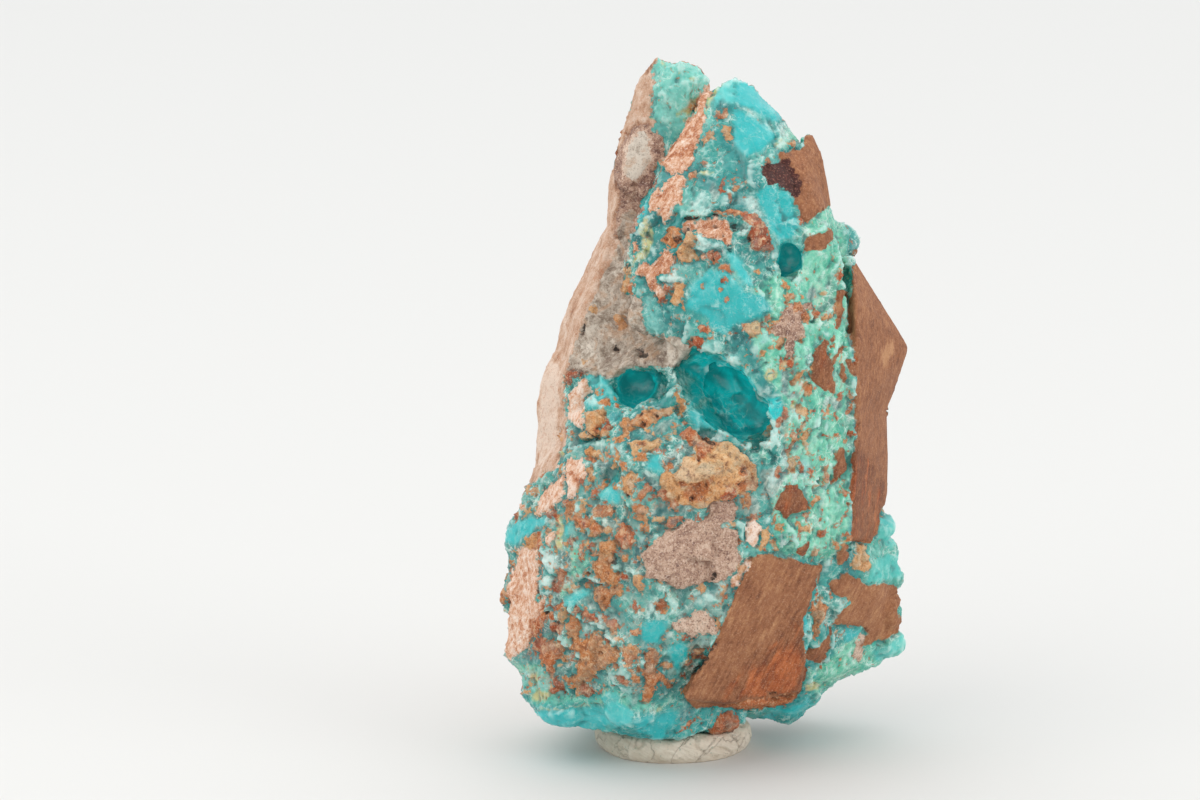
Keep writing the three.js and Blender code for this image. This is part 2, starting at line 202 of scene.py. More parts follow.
# %% Smooth brown rock
BROWN = [
    # the cap on the upper right corner, and a sliver below it
    (0, [(10.2, 57.1), (10.7, 57.9), (11.9, 57.9), (12.2, 59.2), (13.3, 60), (14.4, 57.8), (15, 53), (12.6, 51),
      (12, 51), (11.7, 52), (11.8, 55), (11.3, 56.1), (10.6, 56.9)]),
    (-0.1, [(12.2, 49.4), (14.6, 50.4), (14.9, 49.4), (14.2, 48.5), (12.1, 48.1)]),
    # the plate round the right edge
    (0, [(16.9, 48.4), (16.6, 44.3), (16.2, 42.2), (16.4, 40.3), (17, 38.8), (17.3, 31), (16.9, 25), (17.1, 20.4),
      (18.6, 20.2), (19.4, 21.2), (19.5, 23), (20.6, 24.2), (21.4, 26), (21.4, 33), (23, 39), (18.4, 48.4)]),
    (-0.3, [(16.9, 29), (18.4, 28.4), (19.8, 26), (19.6, 22.6), (18.6, 20.2), (17.1, 20.4), (16.9, 25)]),
    (0.9, [(20.1, 39.4), (20.7, 39.4), (20.3, 38.2), (19.7, 37.4), (19.3, 37.6)]),
    # flakes in the right panel
    (-0.2, [(15.3, 44.5), (15.7, 44.6), (16, 44.4), (15.7, 41.2), (15.5, 40.9), (15, 40.9)]),
    (-0.2, [(13.2, 38.8), (14.1, 39.8), (14.4, 39.5), (14.6, 38), (14.9, 37), (15, 35.3), (15.4, 34.5), (15, 34.5),
      (13.5, 35.4), (13, 36.2), (12.95, 38.2)]),
    (-0.1, [(14.4, 39.8), (15, 40), (15.2, 40.5), (15.2, 39.8), (14.7, 39.3)]),
    (0, [(14.8, 37.4), (14.9, 38.2), (15.7, 39.1), (16.1, 39.2), (16, 38.8), (15.1, 37.5)]),
    (0, [(15.4, 36.6), (15.7, 37.5), (16, 37.4), (16.1, 36.8), (16.4, 36.2), (16.4, 35.6), (16.1, 35.6)]),
    (0, [(16.2, 37.6), (16.3, 38), (16.7, 38), (16.95, 37.4), (17, 36.6), (16.7, 36.2)]),
    (-0.3, [(9.3, 23.1), (10.8, 25.9), (11.7, 25.8), (12.5, 24.8), (12.8, 24.2), (12.7, 23.3), (12, 22.9),
      (11.4, 22.8), (10.8, 22.4), (10.5, 22.5), (10.3, 23), (9.8, 23.2)]),
    (-0.1, [(15.3, 28.4), (15.4, 28.9), (16.1, 29.5), (16.5, 27.5), (15.6, 26.1), (15.2, 25.7), (15.4, 27.4)]),
    (-0.3, [(11.7, 19.2), (12, 19.7), (12.9, 20.5), (12.9, 20), (12.3, 19), (11.8, 18.9)]),
    (0, [(15.4, 18.4), (15.9, 19.6), (15.8, 20.1), (16.3, 20.2), (16.8, 19.3), (16.3, 18.1), (15.9, 17.9),
      (15.5, 17.9)]),
    # the clean face of the block in the lower front, rusty towards its foot
    (0.05, [(8, 19), (9.5, 19), (12.6, 18.2), (14.2, 18.1), (13.9, 17), (13.2, 15.4), (12.2, 11), (12.3, 9.4),
      (12.6, 8.5), (12.5, 7), (12.1, 5.6), (11.6, 4.8), (10.4, 4.3), (9, 4), (6, 3.9), (4.8, 4.2), (3.2, 3.8),
      (2.2, 4), (1.2, 4.7), (1, 5.6), (1.5, 6.8), (2.2, 7.6), (4.6, 11.6), (6, 15.6), (7.3, 18.3)]),
    (-0.3, [(9.4, 10.6), (11.8, 13), (12.4, 11), (12.6, 7), (11.8, 4.9), (9, 4), (3.2, 4.2), (4.6, 6.4)]),
    (-0.5, [(9.6, 9.4), (11.6, 10.4), (12.3, 9), (12, 6.4), (11, 5.4), (8.4, 5), (6.4, 5.4), (7.4, 7.4)]),
    # the broad flake in the lower right
    (0.1, [(14.8, 16.2), (16, 16.9), (16.4, 17.3), (17.7, 16.6), (18, 16.1), (20, 16.2), (20.9, 16), (21.6, 15.6),
      (21.7, 14.6), (21.5, 13.6), (21.9, 12.6), (21.5, 11.6), (20.9, 11), (19.8, 10.7), (18.3, 9.8), (17.9, 9.9),
      (18.6, 11.2), (18.2, 11.8), (17.4, 12.1), (15.8, 12), (15.2, 12.2), (16.4, 14), (16.9, 14.3), (16.6, 14.8),
      (15.9, 14.9), (15.3, 15.2)]),
    (-0.2, [(12.9, 9.8), (13.8, 10.1), (14.8, 11.2), (14.7, 12), (15.2, 12), (14.9, 10), (14.1, 8.4), (12.8, 8.6),
      (12.6, 9.2)]),
    (-0.3, [(18.1, 18.6), (18.8, 18.4), (19, 17.9), (18.6, 17.3), (18.2, 17.6)]),
]
print("brown patches:", len(BROWN))

# %% Orange and ochre clay-stone of the upper half
OCHRE = [
    # the summit and the peak
    (-0.05, [(3.7, 61.2), (4, 61.5), (4.3, 61.1), (4.6, 61.3), (4.6, 61.7), (5, 61.8), (5.1, 61.2), (4.9, 60.7),
      (4, 60.6), (3.7, 60.9)]),
    (0.3, [(4.3, 59.7), (4.6, 60), (5.3, 60), (5.4, 58.7), (4.9, 58.7), (4.3, 59.3)]),
    (0.1, [(3.3, 60), (3.6, 59.3), (3.5, 58.9), (2.6, 58), (2.6, 58.8)]),
    (0.4, [(1.6, 61.6)], 0.25), (-0.1, [(8.4, 56.4), (8.6, 57), (9.2, 56.6), (8.8, 56.4)]),
    (0.1, [(10.9, 58.4)], 0.3), (-0.2, [(2.3, 56.7), (2.7, 56.8), (3, 56.5), (2.9, 56.2)]),
    (0, [(1.1, 55.1), (1.5, 55.8), (2, 56), (2, 55.4), (1.6, 55)]),
    (-0.35, [(4.4, 54.8), (4.8, 55), (4.9, 54.6), (4.7, 54.2), (4.8, 53.8), (5.4, 53), (5.1, 52.9), (4.8, 53.5),
      (4.4, 53.8), (4.2, 54.2)]),
    (0, [(5.2, 54.9), (5.4, 55.2), (5.8, 55.2), (5.4, 54.5), (5.8, 54.3), (6.2, 54.4), (6.3, 54.1), (5.9, 53.8),
      (5.5, 53.9), (5.2, 54.3)]),
    (-0.1, [(6.2, 54.8), (6.6, 54.9), (6.8, 54.6), (6.4, 54.4)]),
    # the arc of red and orange, and what hangs below it
    (0, [(3.5, 52.1), (4.4, 52.2), (4.6, 51.8), (5.3, 52.4), (5.8, 52.4), (6.3, 52), (6.1, 51.6), (4.9, 51.5),
      (4.2, 51.7), (3.6, 51.7)]),
    (-0.25, [(6.3, 52.1), (7.6, 51.8), (8.2, 51.3), (8.6, 50.5), (7.4, 50.7), (6.5, 51.1), (6.1, 51.5)]),
    (-0.5, [(7.1, 50.3), (7.6, 50.7), (8.5, 50.5), (9.1, 48.6), (8.6, 48.2), (8, 48.2), (7.3, 48.4), (6.8, 49.7)]),
    (0.15, [(-1.3, 49.4), (-0.6, 50.3), (0.5, 50.6), (0.7, 49.5), (0.3, 48.7), (-0.2, 48.5), (-0.8, 48.8)]),
    (0.4, [(1.1, 49.9), (1.9, 50), (1.8, 48.4), (2.1, 47.8), (2, 47.1), (1.2, 47), (0.4, 47.1), (0.1, 48)]),
    (-0.25, [(2.9, 47.9), (3.3, 48.3), (4, 48.3), (4.4, 47.8), (4.2, 47.3), (3.6, 47.1), (3, 47.3)]),
    (0.45, [(-0.1, 45.2), (0.9, 45.3), (0.8, 43.8), (0.5, 43.2), (0.1, 43), (-0.4, 43.4), (-0.4, 44), (-0.1, 44.6)]),
    (0.4, [(0.5, 43.1), (1, 42.9), (1.1, 42.5), (0.6, 42.7)]), (-0.5, [(-1.3, 43.5)], 0.4),
    (-0.35, [(4.1, 45.2), (4.3, 45.6), (4.9, 45.8), (5.1, 45.3), (4.6, 45.05)]),
    (0.1, [(4, 44.8), (4.3, 44.9), (4.5, 44.5), (4, 44.5)]),
    (-0.3, [(4.7, 43.8), (5, 43.8), (5.1, 43.3), (4.8, 43.2)]),
    (0.2, [(2.6, 45.4), (2.9, 45.3), (2.8, 44.7), (2.5, 44.8)]),
    (-0.1, [(4.55, 46.45)], 0.18), (0.5, [(1.2, 45.7)], 0.15), (0.5, [(1.7, 43.9)], 0.13), (0.4, [(7.9, 46.3)], 0.25),
    (-0.2, [(2.9, 40.9)], 0.42),
    (0.4, [(-4.1, 46.9), (-4.4, 46.8), (-4.8, 45.6), (-5, 44.4), (-4.4, 44.2)]),
    # the grey face
    (-0.5, [(-10.4, 36.1), (-10, 36.5), (-9.9, 36.9), (-8.5, 36.6), (-9.4, 36.1), (-9.6, 35.6), (-10, 35.3),
      (-10.3, 35.5)]),
    (0.5, [(-7.5, 42.7)], 0.5), (0.5, [(-8.6, 37.8)], 0.22),
    (0.3, [(-5.9, 41.9), (-5.4, 42.2), (-4.6, 41.9), (-4.4, 41.2), (-5.2, 40.8)]),
]
print("ochre patches so far:", len(OCHRE))

# %% Ochre chips of the right panel and the ledge
OCHRE += [
    # the right panel, from its top down
    (-0.3, [(6.2, 40.6), (6.5, 41.1), (6.9, 41.4), (6.9, 41.2)]),
    (0, [(9.2, 44.4)], 0.2),
    (0, [(10.1, 44.2), (11, 44.3), (11.3, 43.9), (11.3, 43.6), (10.9, 43.6), (10.8, 43), (10.4, 43)]),
    (0.2, [(10.2, 45.6), (10.9, 44.9), (10.9, 44.5), (10.6, 44.6), (10.3, 45.1)]),
    (0, [(11.3, 43), (11.6, 43.5), (11.9, 43.4), (12, 42.7), (11.6, 42.4), (11.3, 42.6)]),
    (0.05, [(12.2, 42.2), (12.6, 42.6), (12.8, 42.3), (12.8, 41.8), (12.2, 41), (12.1, 41.5)]),
    (-0.35, [(8.4, 42), (9.1, 42.2), (9.2, 41.8), (8.6, 40.9), (8.3, 41)]),
    (-0.1, [(9.4, 41.3)], 0.25), (-0.1, [(10, 42)], 0.2),
    (0.1, [(9.6, 39.7), (10.5, 39.9), (10.4, 39.4), (10, 38.9), (9.6, 38.8)]),
    (0.3, [(8.1, 38.4), (9, 39.3), (9.4, 39.5), (9.3, 39.1), (8.9, 38.8), (8.4, 38.1)]),
    (0.3, [(11.6, 39.6), (11.8, 40.1), (12.1, 40), (12, 39.4)]),
    (-0.2, [(10.5, 38), (11.3, 38.2), (11.4, 37.5), (11.2, 37), (10.6, 37)]),
    (0.2, [(11.4, 36.4), (11.9, 37), (12.3, 36.9), (12.2, 36.4), (11.2, 35.2), (10.9, 35.4), (11, 35.9), (11.3, 36)]),
    (0.05, [(12.2, 35.5), (12.6, 36.1), (12.9, 35.6), (13, 35), (12.8, 34.4), (12.3, 34.4), (12.1, 34.8)]),
    (-0.1, [(16.1, 35), (16.5, 35), (16.8, 33.8), (16.5, 32.7), (16.7, 32.5), (16.9, 33), (17, 34), (16.8, 35.2)]),
    (0.1, [(14.5, 33.6), (14.7, 33.9), (15, 33.8), (14.7, 32.6), (14.4, 32.5), (14.6, 33)]),
    (-0.2, [(15, 32.6), (15.4, 32.6), (15.5, 32.1), (15.2, 31.9)]),
    (-0.5, [(13.3, 33.2), (11.1, 30.6), (10.7, 28.8), (10.9, 28.8), (11.3, 30.2), (12.1, 31.6), (13.4, 33)]),
    (0.3, [(11.1, 30.8), (11.6, 30.2), (12.4, 31.3), (12.8, 31.3), (12.9, 30.5), (12.5, 30), (11.6, 30.05),
      (11, 30.3)]),
    (0.4, [(12.3, 29.9), (12.7, 29.8), (12.7, 29), (12.4, 29)]),
    (0.2, [(10.8, 28.8), (11.2, 28.7), (11.5, 28.1), (11.1, 28.2)]),
    (0, [(15.3, 30.7)], 0.25), (0.1, [(16.3, 30.1)], 0.25), (0.1, [(11.2, 27.3)], 0.25),
    (-0.05, [(13.9, 26.4), (14.2, 27), (14.3, 27.8), (14.6, 28.1), (14.5, 27.2), (14.9, 26.4), (14.6, 26.1),
      (14.4, 25.6), (14.2, 26.1)]),
    (0.3, [(12.9, 26.7), (13.6, 27.6), (13.5, 27.2), (13.2, 26.8)]),
    (0.2, [(13.2, 25.9), (13.9, 25.9), (13.8, 25.6), (13.4, 25.4)]),
    (0.15, [(13.1, 24.4), (13.5, 24.9), (13.9, 24.9), (13.9, 24.4), (13.2, 24), (12.9, 23.3), (12.8, 23.6)]),
    (0.1, [(9.1, 22.6), (9.4, 23), (9.8, 22.9), (9.7, 22.2), (9.3, 21.9)]),
    (0.3, [(9.7, 21.8), (10, 22.4), (10.4, 22.2), (10.4, 21.6), (10, 21.3)]),
    (0.2, [(11.6, 21.9), (11.9, 22.3), (12.2, 21.2), (11.8, 21.4)]),
    (0.2, [(13, 21.6), (13.4, 21.6), (13.4, 21.1), (13, 21)]),
    (0.55, [(8.5, 21.6), (8.9, 21.7), (9.2, 20.4), (8.7, 20), (8.3, 19.4), (7.9, 19.2)]),
    (0.3, [(9.4, 20.4), (9.7, 20.9), (10.1, 19.3), (9.6, 19.2)]),
    (-0.3, [(8.2, 19.3), (8.9, 19.6), (8.9, 19.3)]),
    (-0.3, [(13.9, 20.6), (13.9, 21), (14.2, 21.5), (14.5, 21.6), (14.8, 20.9), (14.4, 20.6)]),
    (0.1, [(15.2, 20), (15.4, 20.4), (15.7, 20.4), (15.8, 20), (15.6, 19.5), (15.3, 19.6)]),
    (-0.1, [(16.1, 20.7), (16.3, 21), (16.7, 21), (16.5, 20.5)]),
    (-0.15, [(15.9, 25), (16.1, 25.9), (16.4, 26.4), (16.3, 25.7), (16.6, 25.1), (16.3, 24.8)]),
    (-0.1, [(16.4, 24.4), (16.7, 24.2), (16.8, 23.8), (16.5, 23.5), (16.6, 23), (16.2, 22.8), (16.4, 23.6)]),
    (-0.2, [(15.4, 21.8), (16, 22.8), (15.9, 22.1), (15.6, 21.6)]),
    (-0.2, [(13.7, 22), (14.1, 23.6), (14.1, 22.8), (13.9, 22)]),
    (0.5, [(17.2, 20.1), (18.3, 20), (18.2, 19.4), (18.7, 18.6), (18.9, 17.8), (18.3, 17.2), (17.7, 17.6),
      (17.1, 17.6)]),
    (0.1, [(13.1, 13.9), (13.6, 14), (13.9, 14.9), (14.7, 13.8), (13.7, 11), (13.3, 10.6), (13.4, 12.6)]),
    # the ledge beside the deep cavity, and its rim
    (0.25, [(-5, 30.9), (-4.9, 31.9), (-4.5, 32.3), (-4.2, 32), (-3.6, 32.1), (-3.2, 32.8), (-2.6, 33.1), (-2, 33.2),
      (-1.2, 32.9), (0, 33.5), (0.1, 33), (-2.2, 31.4), (-2.8, 31.2), (-3.6, 31.3), (-4.1, 31.1), (-4.3, 30.4),
      (-4.9, 30), (-5.7, 29.8), (-5.9, 30.4), (-5.3, 30.4)]),
    (0.35, [(0, 34.8), (0.1, 35.3), (0.5, 34.9), (1.15, 33.2), (1, 32.6), (0.2, 32.2), (0.4, 33.4)]),
    (0.1, [(-0.2, 31.9), (0.1, 32), (0.3, 31.7), (-0.3, 31.3)]),
    (-0.1, [(0.6, 31.8), (1, 31.9), (1.1, 31.5), (0.8, 31.4)]),
    (0.1, [(-7.1, 33.9), (-6.5, 34), (-6.1, 33.7), (-6.1, 33.2), (-6.6, 33.1), (-7, 33.4)]),
    (0, [(-5.6, 33.4), (-5.2, 33.8), (-5, 33.5), (-5.4, 33.1)]),
    (0.3, [(-7.4, 35)], 0.2), (0.3, [(-7.3, 34.6)], 0.2), (0.3, [(-6.8, 34.9)], 0.22), (0.3, [(-6.4, 34.1)], 0.13),
    (0.3, [(-5.7, 34.1)], 0.12),
    (0.4, [(-8.7, 33), (-6.9, 32.9), (-6.4, 32.6), (-6.3, 31.9), (-6.8, 31.3), (-7, 30.4), (-7.3, 30.1), (-8.7, 31.2),
      (-8.6, 32.2)]),
    (0.45, [(-8.9, 31), (-7.7, 30.2), (-8.9, 30.2), (-9.2, 30.6)]),
    (0.3, [(-10.9, 31.2), (-10.6, 31.1), (-10.6, 30.2), (-10.9, 30.4)]),
    (0, [(-10.1, 31.1), (-9.8, 31.1), (-9.8, 30.4), (-10, 29.9)]),
    (0.6, [(-4.3, 29.8), (-3.4, 30.1), (-1.3, 30.2), (-1.1, 29.7), (-3, 29), (-3.9, 29)]),
    (0.4, [(-1.1, 30.6), (-0.1, 31.1), (0.4, 31.2), (0.3, 30.9), (-0.2, 30.7), (-0.5, 30.3), (-1, 30.3)]),
]
print("ochre patches so far:", len(OCHRE))

# %% Ochre lump and chips of the middle
OCHRE += [
    # the fan below it: first the whole, then its cap, orange cheek, stippled cheek, scoop painted darker as its
    # shade, and lower rim
    (0.45, [(0.5, 30.7), (1.4, 31.2), (2.5, 30.4), (3.4, 30.1), (4.7, 30), (6.2, 29.2), (7.6, 27.9), (7.9, 26.4),
      (7.6, 25.2), (6.2, 25), (5.4, 24.2), (4, 24.2), (2.6, 23.5), (1.2, 23.9), (-0.4, 24.4), (-1.3, 25.7),
      (-1, 26.7), (0.1, 27), (0.9, 28.3), (2, 28.6), (1.9, 29.6), (1.1, 30.1)]),
    (-0.1, [(0.5, 30.6), (0.9, 31.1), (1.4, 31.2), (2.5, 30.3), (3, 30.3), (3.8, 29.8), (3.1, 28.6), (3.1, 28),
      (2.3, 28.2), (2, 29.4)]),
    (0.6, [(3.3, 28.9), (4, 29.6), (4.7, 29.95), (5.5, 29.7), (7, 28.5), (7.6, 27.8), (7.9, 27), (7.8, 26.3),
      (7.2, 26.4), (6.6, 26), (6.2, 26), (5.6, 26.3), (5.2, 26.8), (4.4, 27.3), (3.9, 28), (3.4, 28.4)]),
    (0.3, [(6.4, 28.2), (7.1, 28.2), (7.7, 27.4), (7.8, 26.4), (6.4, 26.2), (6.2, 27)]),
    (0.85, [(1, 28.5), (1.4, 28.5), (2, 28.1), (3.1, 27.8), (3.5, 28), (3.9, 27.6), (4.1, 27), (3.4, 26.9),
      (2.8, 26.5), (2, 26.3), (1.2, 26.3), (0.6, 26.1), (0.1, 26.4), (0.2, 27), (0.7, 27.3)]),
    (0.5, [(-1.3, 26), (-1.2, 26.5), (-0.6, 26.9), (0, 26.7), (0.1, 26), (0, 25.5), (-0.6, 25.3), (-1.2, 25.6)]),
    # the scoop: painted darker, as the shade in its hollow
    (0.05, [(1.2, 25.9), (3.2, 26.8), (4, 26.9), (3.9, 26), (3.6, 25.2), (3.2, 24.7), (2.4, 24.1), (1.7, 24.1),
      (0.8, 25.2)]),
    (0.4, [(-0.4, 24.9), (0, 25.4), (0.8, 25.2), (1.8, 24), (2.5, 24), (3.3, 24.6), (4.6, 26), (5.2, 26), (5.8, 25.8),
      (3.4, 23.8), (2.6, 23.55), (1.9, 23.6), (0.4, 24.3), (-0.3, 24.4)]),
    (-0.25, [(4.2, 24.5), (4.6, 25.1), (5.2, 25.5), (5.8, 25.6), (6, 25), (5.9, 24.4), (5.2, 24.3)]),
    (0, [(6.1, 25.7), (7.4, 26.3), (7.8, 26), (7.7, 25.4), (7.2, 25.1), (6.6, 25.2)]),
    # chips over the speckled front
    (0.35, [(-8.5, 29.3), (-7.9, 29.4), (-6.9, 28.8), (-6.9, 28.2), (-7.2, 28.1), (-8.4, 28.7)]),
    (0.2, [(-6.4, 28.9)], 0.25),
    (0.3, [(-5.9, 28.7), (-5.4, 28.8), (-5.1, 28.2), (-5.6, 27.9)]),
    (0.1, [(-5.1, 28.2), (-4.6, 28), (-4.3, 27.6), (-4.7, 27.2), (-5, 27.4)]),
    (0.2, [(-4, 28.2), (-3.3, 28.8), (-2.8, 28.8), (-2.4, 28.4), (-2.7, 28.1), (-3.4, 28)]),
    (0.2, [(-8.3, 27.4), (-7.9, 27.6), (-7.6, 27.2), (-7.9, 26.9), (-8.3, 27)]),
    (0.4, [(-8.2, 26.9), (-7.6, 27), (-7.4, 26.4), (-7.6, 26), (-8.1, 26.2)]),
    (-0.4, [(-9, 26.3), (-8.6, 26.4), (-8.5, 25.9), (-8.9, 25.7)]),
    (0.2, [(-5.6, 25.6)], 0.32),
    (0.35, [(-5, 26.2), (-4.4, 27), (-3.9, 27.3), (-3.7, 26.4), (-4.1, 24.8), (-4.5, 24.5), (-5, 25.2)]),
    (0, [(-3.6, 24.8), (-2.9, 25.5), (-2.4, 25.3), (-2.2, 25), (-3.2, 24.4)]),
    (-0.3, [(-1.9, 24.6)], 0.28), (0, [(-0.8, 24.65)], 0.2),
    (0.1, [(-4.1, 23.7), (-3.2, 24), (-2.6, 23.8), (-2.3, 23.3), (-2.7, 22.9), (-3.4, 22.9), (-3.9, 23.1)]),
    (0.2, [(-4, 22.3), (-3.4, 22.9), (-2.6, 22.6), (-2.3, 21.9), (-2.5, 21.3), (-2.9, 21), (-2.9, 21.5), (-2.7, 21.9),
      (-3.2, 22.2)]),
    (0.1, [(-10.4, 23.6), (-9.9, 24.2), (-9.3, 24.4), (-9.1, 23.6), (-9.5, 23), (-9.9, 22.7), (-10.4, 23)]),
    (0, [(-7.9, 23.4), (-7.4, 23.9), (-6.6, 23.9), (-5.9, 23.5), (-5.9, 22.8), (-7.3, 22.6), (-7.8, 22.8)]),
    (0, [(-9.6, 22.8), (-8.8, 23), (-8.2, 22.6), (-7.9, 22.1), (-7.4, 22.2), (-7, 21.8), (-6.9, 21.2), (-7.3, 20.8),
      (-7.7, 20.7), (-7.9, 21.4), (-8.2, 21.6), (-8.8, 21.5), (-9.4, 21.7)]),
    (-0.8, [(-9, 22.2), (-8.6, 22.4), (-8.1, 22.2), (-8.3, 21.9), (-8.8, 21.9)]),
    (-0.15, [(-5.8, 20.8), (-5.3, 21.4), (-5.1, 22), (-4.7, 22.4), (-4.4, 21.8), (-3.6, 20.8), (-3.7, 20.2),
      (-4, 19.8), (-4.9, 19.8)]),
    (-0.2, [(-0.9, 21.8), (-0.5, 22.5), (0.1, 22.8), (0.8, 22.7), (0.7, 22.2), (-0.3, 21.5)]),
    (-0.9, [(-0.4, 22.2), (0, 22.5), (0.5, 22.4), (0.2, 22.1)]),
    (-0.65, [(-10, 20.3), (-9.8, 20.7), (-9.5, 20.5), (-9.5, 20), (-9.3, 19.6), (-9.6, 19.4), (-9.9, 19.8)]),
    (0.3, [(-10.4, 20.3), (-10, 20.4), (-10, 19.9), (-10.3, 20)]),
    (-0.1, [(-8.9, 20.3), (-8.5, 20), (-8.6, 18.7), (-8.9, 18.5), (-9.2, 18.8), (-8.9, 19.1), (-8.8, 19.7)]),
    (-0.55, [(-8.2, 19.5), (-8.3, 20), (-8, 20.2), (-7.6, 20.1), (-8, 19.3)]),
    (0, [(-6.9, 20.3), (-6.5, 20.3), (-5.9, 19.6), (-6.3, 19.3), (-6.8, 19.8)]),
    (0.15, [(-7, 19), (-6, 19.1), (-5.7, 18.7), (-6.1, 17.9), (-5.7, 17.3), (-5.2, 17.1), (-4.9, 16.6), (-5.2, 16.2),
      (-6.4, 16.3), (-7.2, 16.6), (-7.6, 17.1), (-8.2, 17.1), (-8.2, 16.7), (-8.5, 16.8), (-8.6, 17.4), (-7.8, 17.4),
      (-7.8, 18.1), (-7.2, 18.3)]),
    (0.1, [(-7.8, 15.5), (-7, 15.9), (-6.1, 16), (-4.9, 15.9), (-4.9, 15.3), (-5.6, 15), (-6, 14.4), (-6.3, 13.5),
      (-6.9, 13.5), (-7.7, 15)]),
    (-0.1, [(-8.9, 13.5), (-8.4, 13.8), (-7.8, 13.4), (-8, 13.1), (-8.6, 12.9)]),
    (-0.4, [(-8.6, 12.6), (-8, 12.9), (-7.5, 13.5), (-7.4, 13), (-6.9, 12.7), (-7.1, 12.2), (-7.8, 12.5),
      (-8.4, 12.2)]),
    (0.35, [(-4.1, 16.7), (-3.6, 17.1), (-2.9, 17), (-3, 16.2), (-2.9, 15.5), (-3.3, 15.4)]),
    (0.15, [(-10.5, 11.6), (-9.9, 11.9), (-9.3, 11.6), (-9.2, 11.1), (-9.6, 10.8), (-10.2, 11.2)]),
    (0, [(-5.7, 11.5)], 0.35), (0, [(-3.7, 11.5)], 0.4), (0.3, [(-5.1, 10.7)], 0.25),
    (0.15, [(-9.7, 11.1), (-9.2, 11.2), (-8.8, 10.8), (-7.8, 10.9), (-7.6, 11.5), (-7.3, 11.4), (-7.3, 11),
      (-6.6, 10.8), (-6.2, 10.2), (-5.4, 9.8), (-5, 9.3), (-5.3, 8.7), (-5.9, 8.2), (-7.3, 7.4), (-7.8, 6.8),
      (-8.6, 6.6), (-8.9, 5.3), (-9.4, 5.2), (-9.4, 5.9), (-10, 6), (-9.4, 6.4), (-10.4, 6.7), (-10.6, 7.1),
      (-9.4, 7.2), (-9.2, 7.8), (-9.2, 8.4), (-8.8, 8.9), (-9, 9.6), (-9.8, 9.6), (-10.2, 10.1), (-9.7, 10.4)]),
    (-0.05, [(-12.9, 9.1), (-12, 10.6), (-11.2, 10.6), (-10.7, 10.2), (-10.6, 9.4), (-11.6, 7.3), (-12.1, 7.3)]),
    (0.3, [(-10.6, 9.2), (-10.1, 9), (-10.3, 8.2), (-10.8, 8.6)]),
    (0.2, [(-5, 9.9), (-4.2, 10.2), (-3.4, 9.9), (-3.1, 9.4), (-3.6, 9.1), (-4.2, 9.4), (-4.8, 9.4)]),
    (0.05, [(-2.4, 9.6), (-2, 9.8), (-1.5, 9.3), (-1.5, 8.6), (-1.7, 8), (-1.4, 7.4), (-0.3, 6.7), (0, 6.2),
      (-0.4, 5.9), (-1.3, 6.7), (-1.7, 6.2), (-1.8, 5.5), (-2.2, 4.6), (-2.5, 4.4), (-3, 4.6), (-2.7, 6.2), (-2.7, 7),
      (-3.2, 7.4), (-3.9, 7.3), (-3.6, 7.8), (-3, 8.2)]),
    (0.2, [(-1.3, 8.4), (-0.8, 8.7), (-0.2, 8.5), (0.1, 8), (-0.3, 7.7), (-0.8, 7.8)]),
    (0.2, [(1.8, 9.2), (2, 9.6), (3, 10), (2.7, 9.4), (2.1, 8.7)]),
]
print("ochre patches so far:", len(OCHRE))

# %% Ochre chips of the foot and the left edge
OCHRE += [
    # beside the block and along the foot
    (-0.1, [(4.1, 14), (4.8, 15.1), (5.4, 15.2), (4.6, 14)]),
    (0.3, [(6, 16.6), (6.3, 17.6), (6.8, 17.9), (6.3, 16.4)]),
    (0.2, [(4.1, 11.3), (4.3, 12.2), (4.8, 12.5), (4.6, 11.7)]),
    (-0.1, [(0.3, 1.5), (0.8, 2.1), (1.5, 2.3), (2.5, 3.4), (2.3, 2.8), (1.6, 2)]),
    (-0.15, [(3.3, 1.3), (4.5, 3.4), (5.6, 3.6), (6.3, 3.2), (6.5, 1.4)]),
    (-0.05, [(5, 4.3), (11.8, 5.4), (11.6, 4.6), (10.4, 4.1), (9, 3.9), (6, 3.8)]),
    # down the left edge
    (0.35, [(-14.2, 19.9), (-13.9, 20.6), (-12.9, 21.2), (-12.7, 21), (-13.1, 19.7), (-13.6, 19.4)]),
    # a darker strip down the peach face's right edge: painted shade
    (-0.15, [(-12.3, 14.5), (-12.3, 13.6), (-11.9, 13), (-12.8, 11.4), (-14, 10), (-13.2, 12.6), (-12.8, 13.4),
      (-12.6, 14.2)]),
    (0.1, [(-17, 14.6), (-16.7, 15.6), (-16.2, 15.8), (-15.9, 15), (-16, 14.2), (-16.6, 13.8)]),
    (0.15, [(-13.8, 24.9), (-13.6, 25.4), (-12.9, 25.7), (-12.7, 25.1), (-13.4, 24.7)]),
]
print("ochre patches in all:", len(OCHRE))

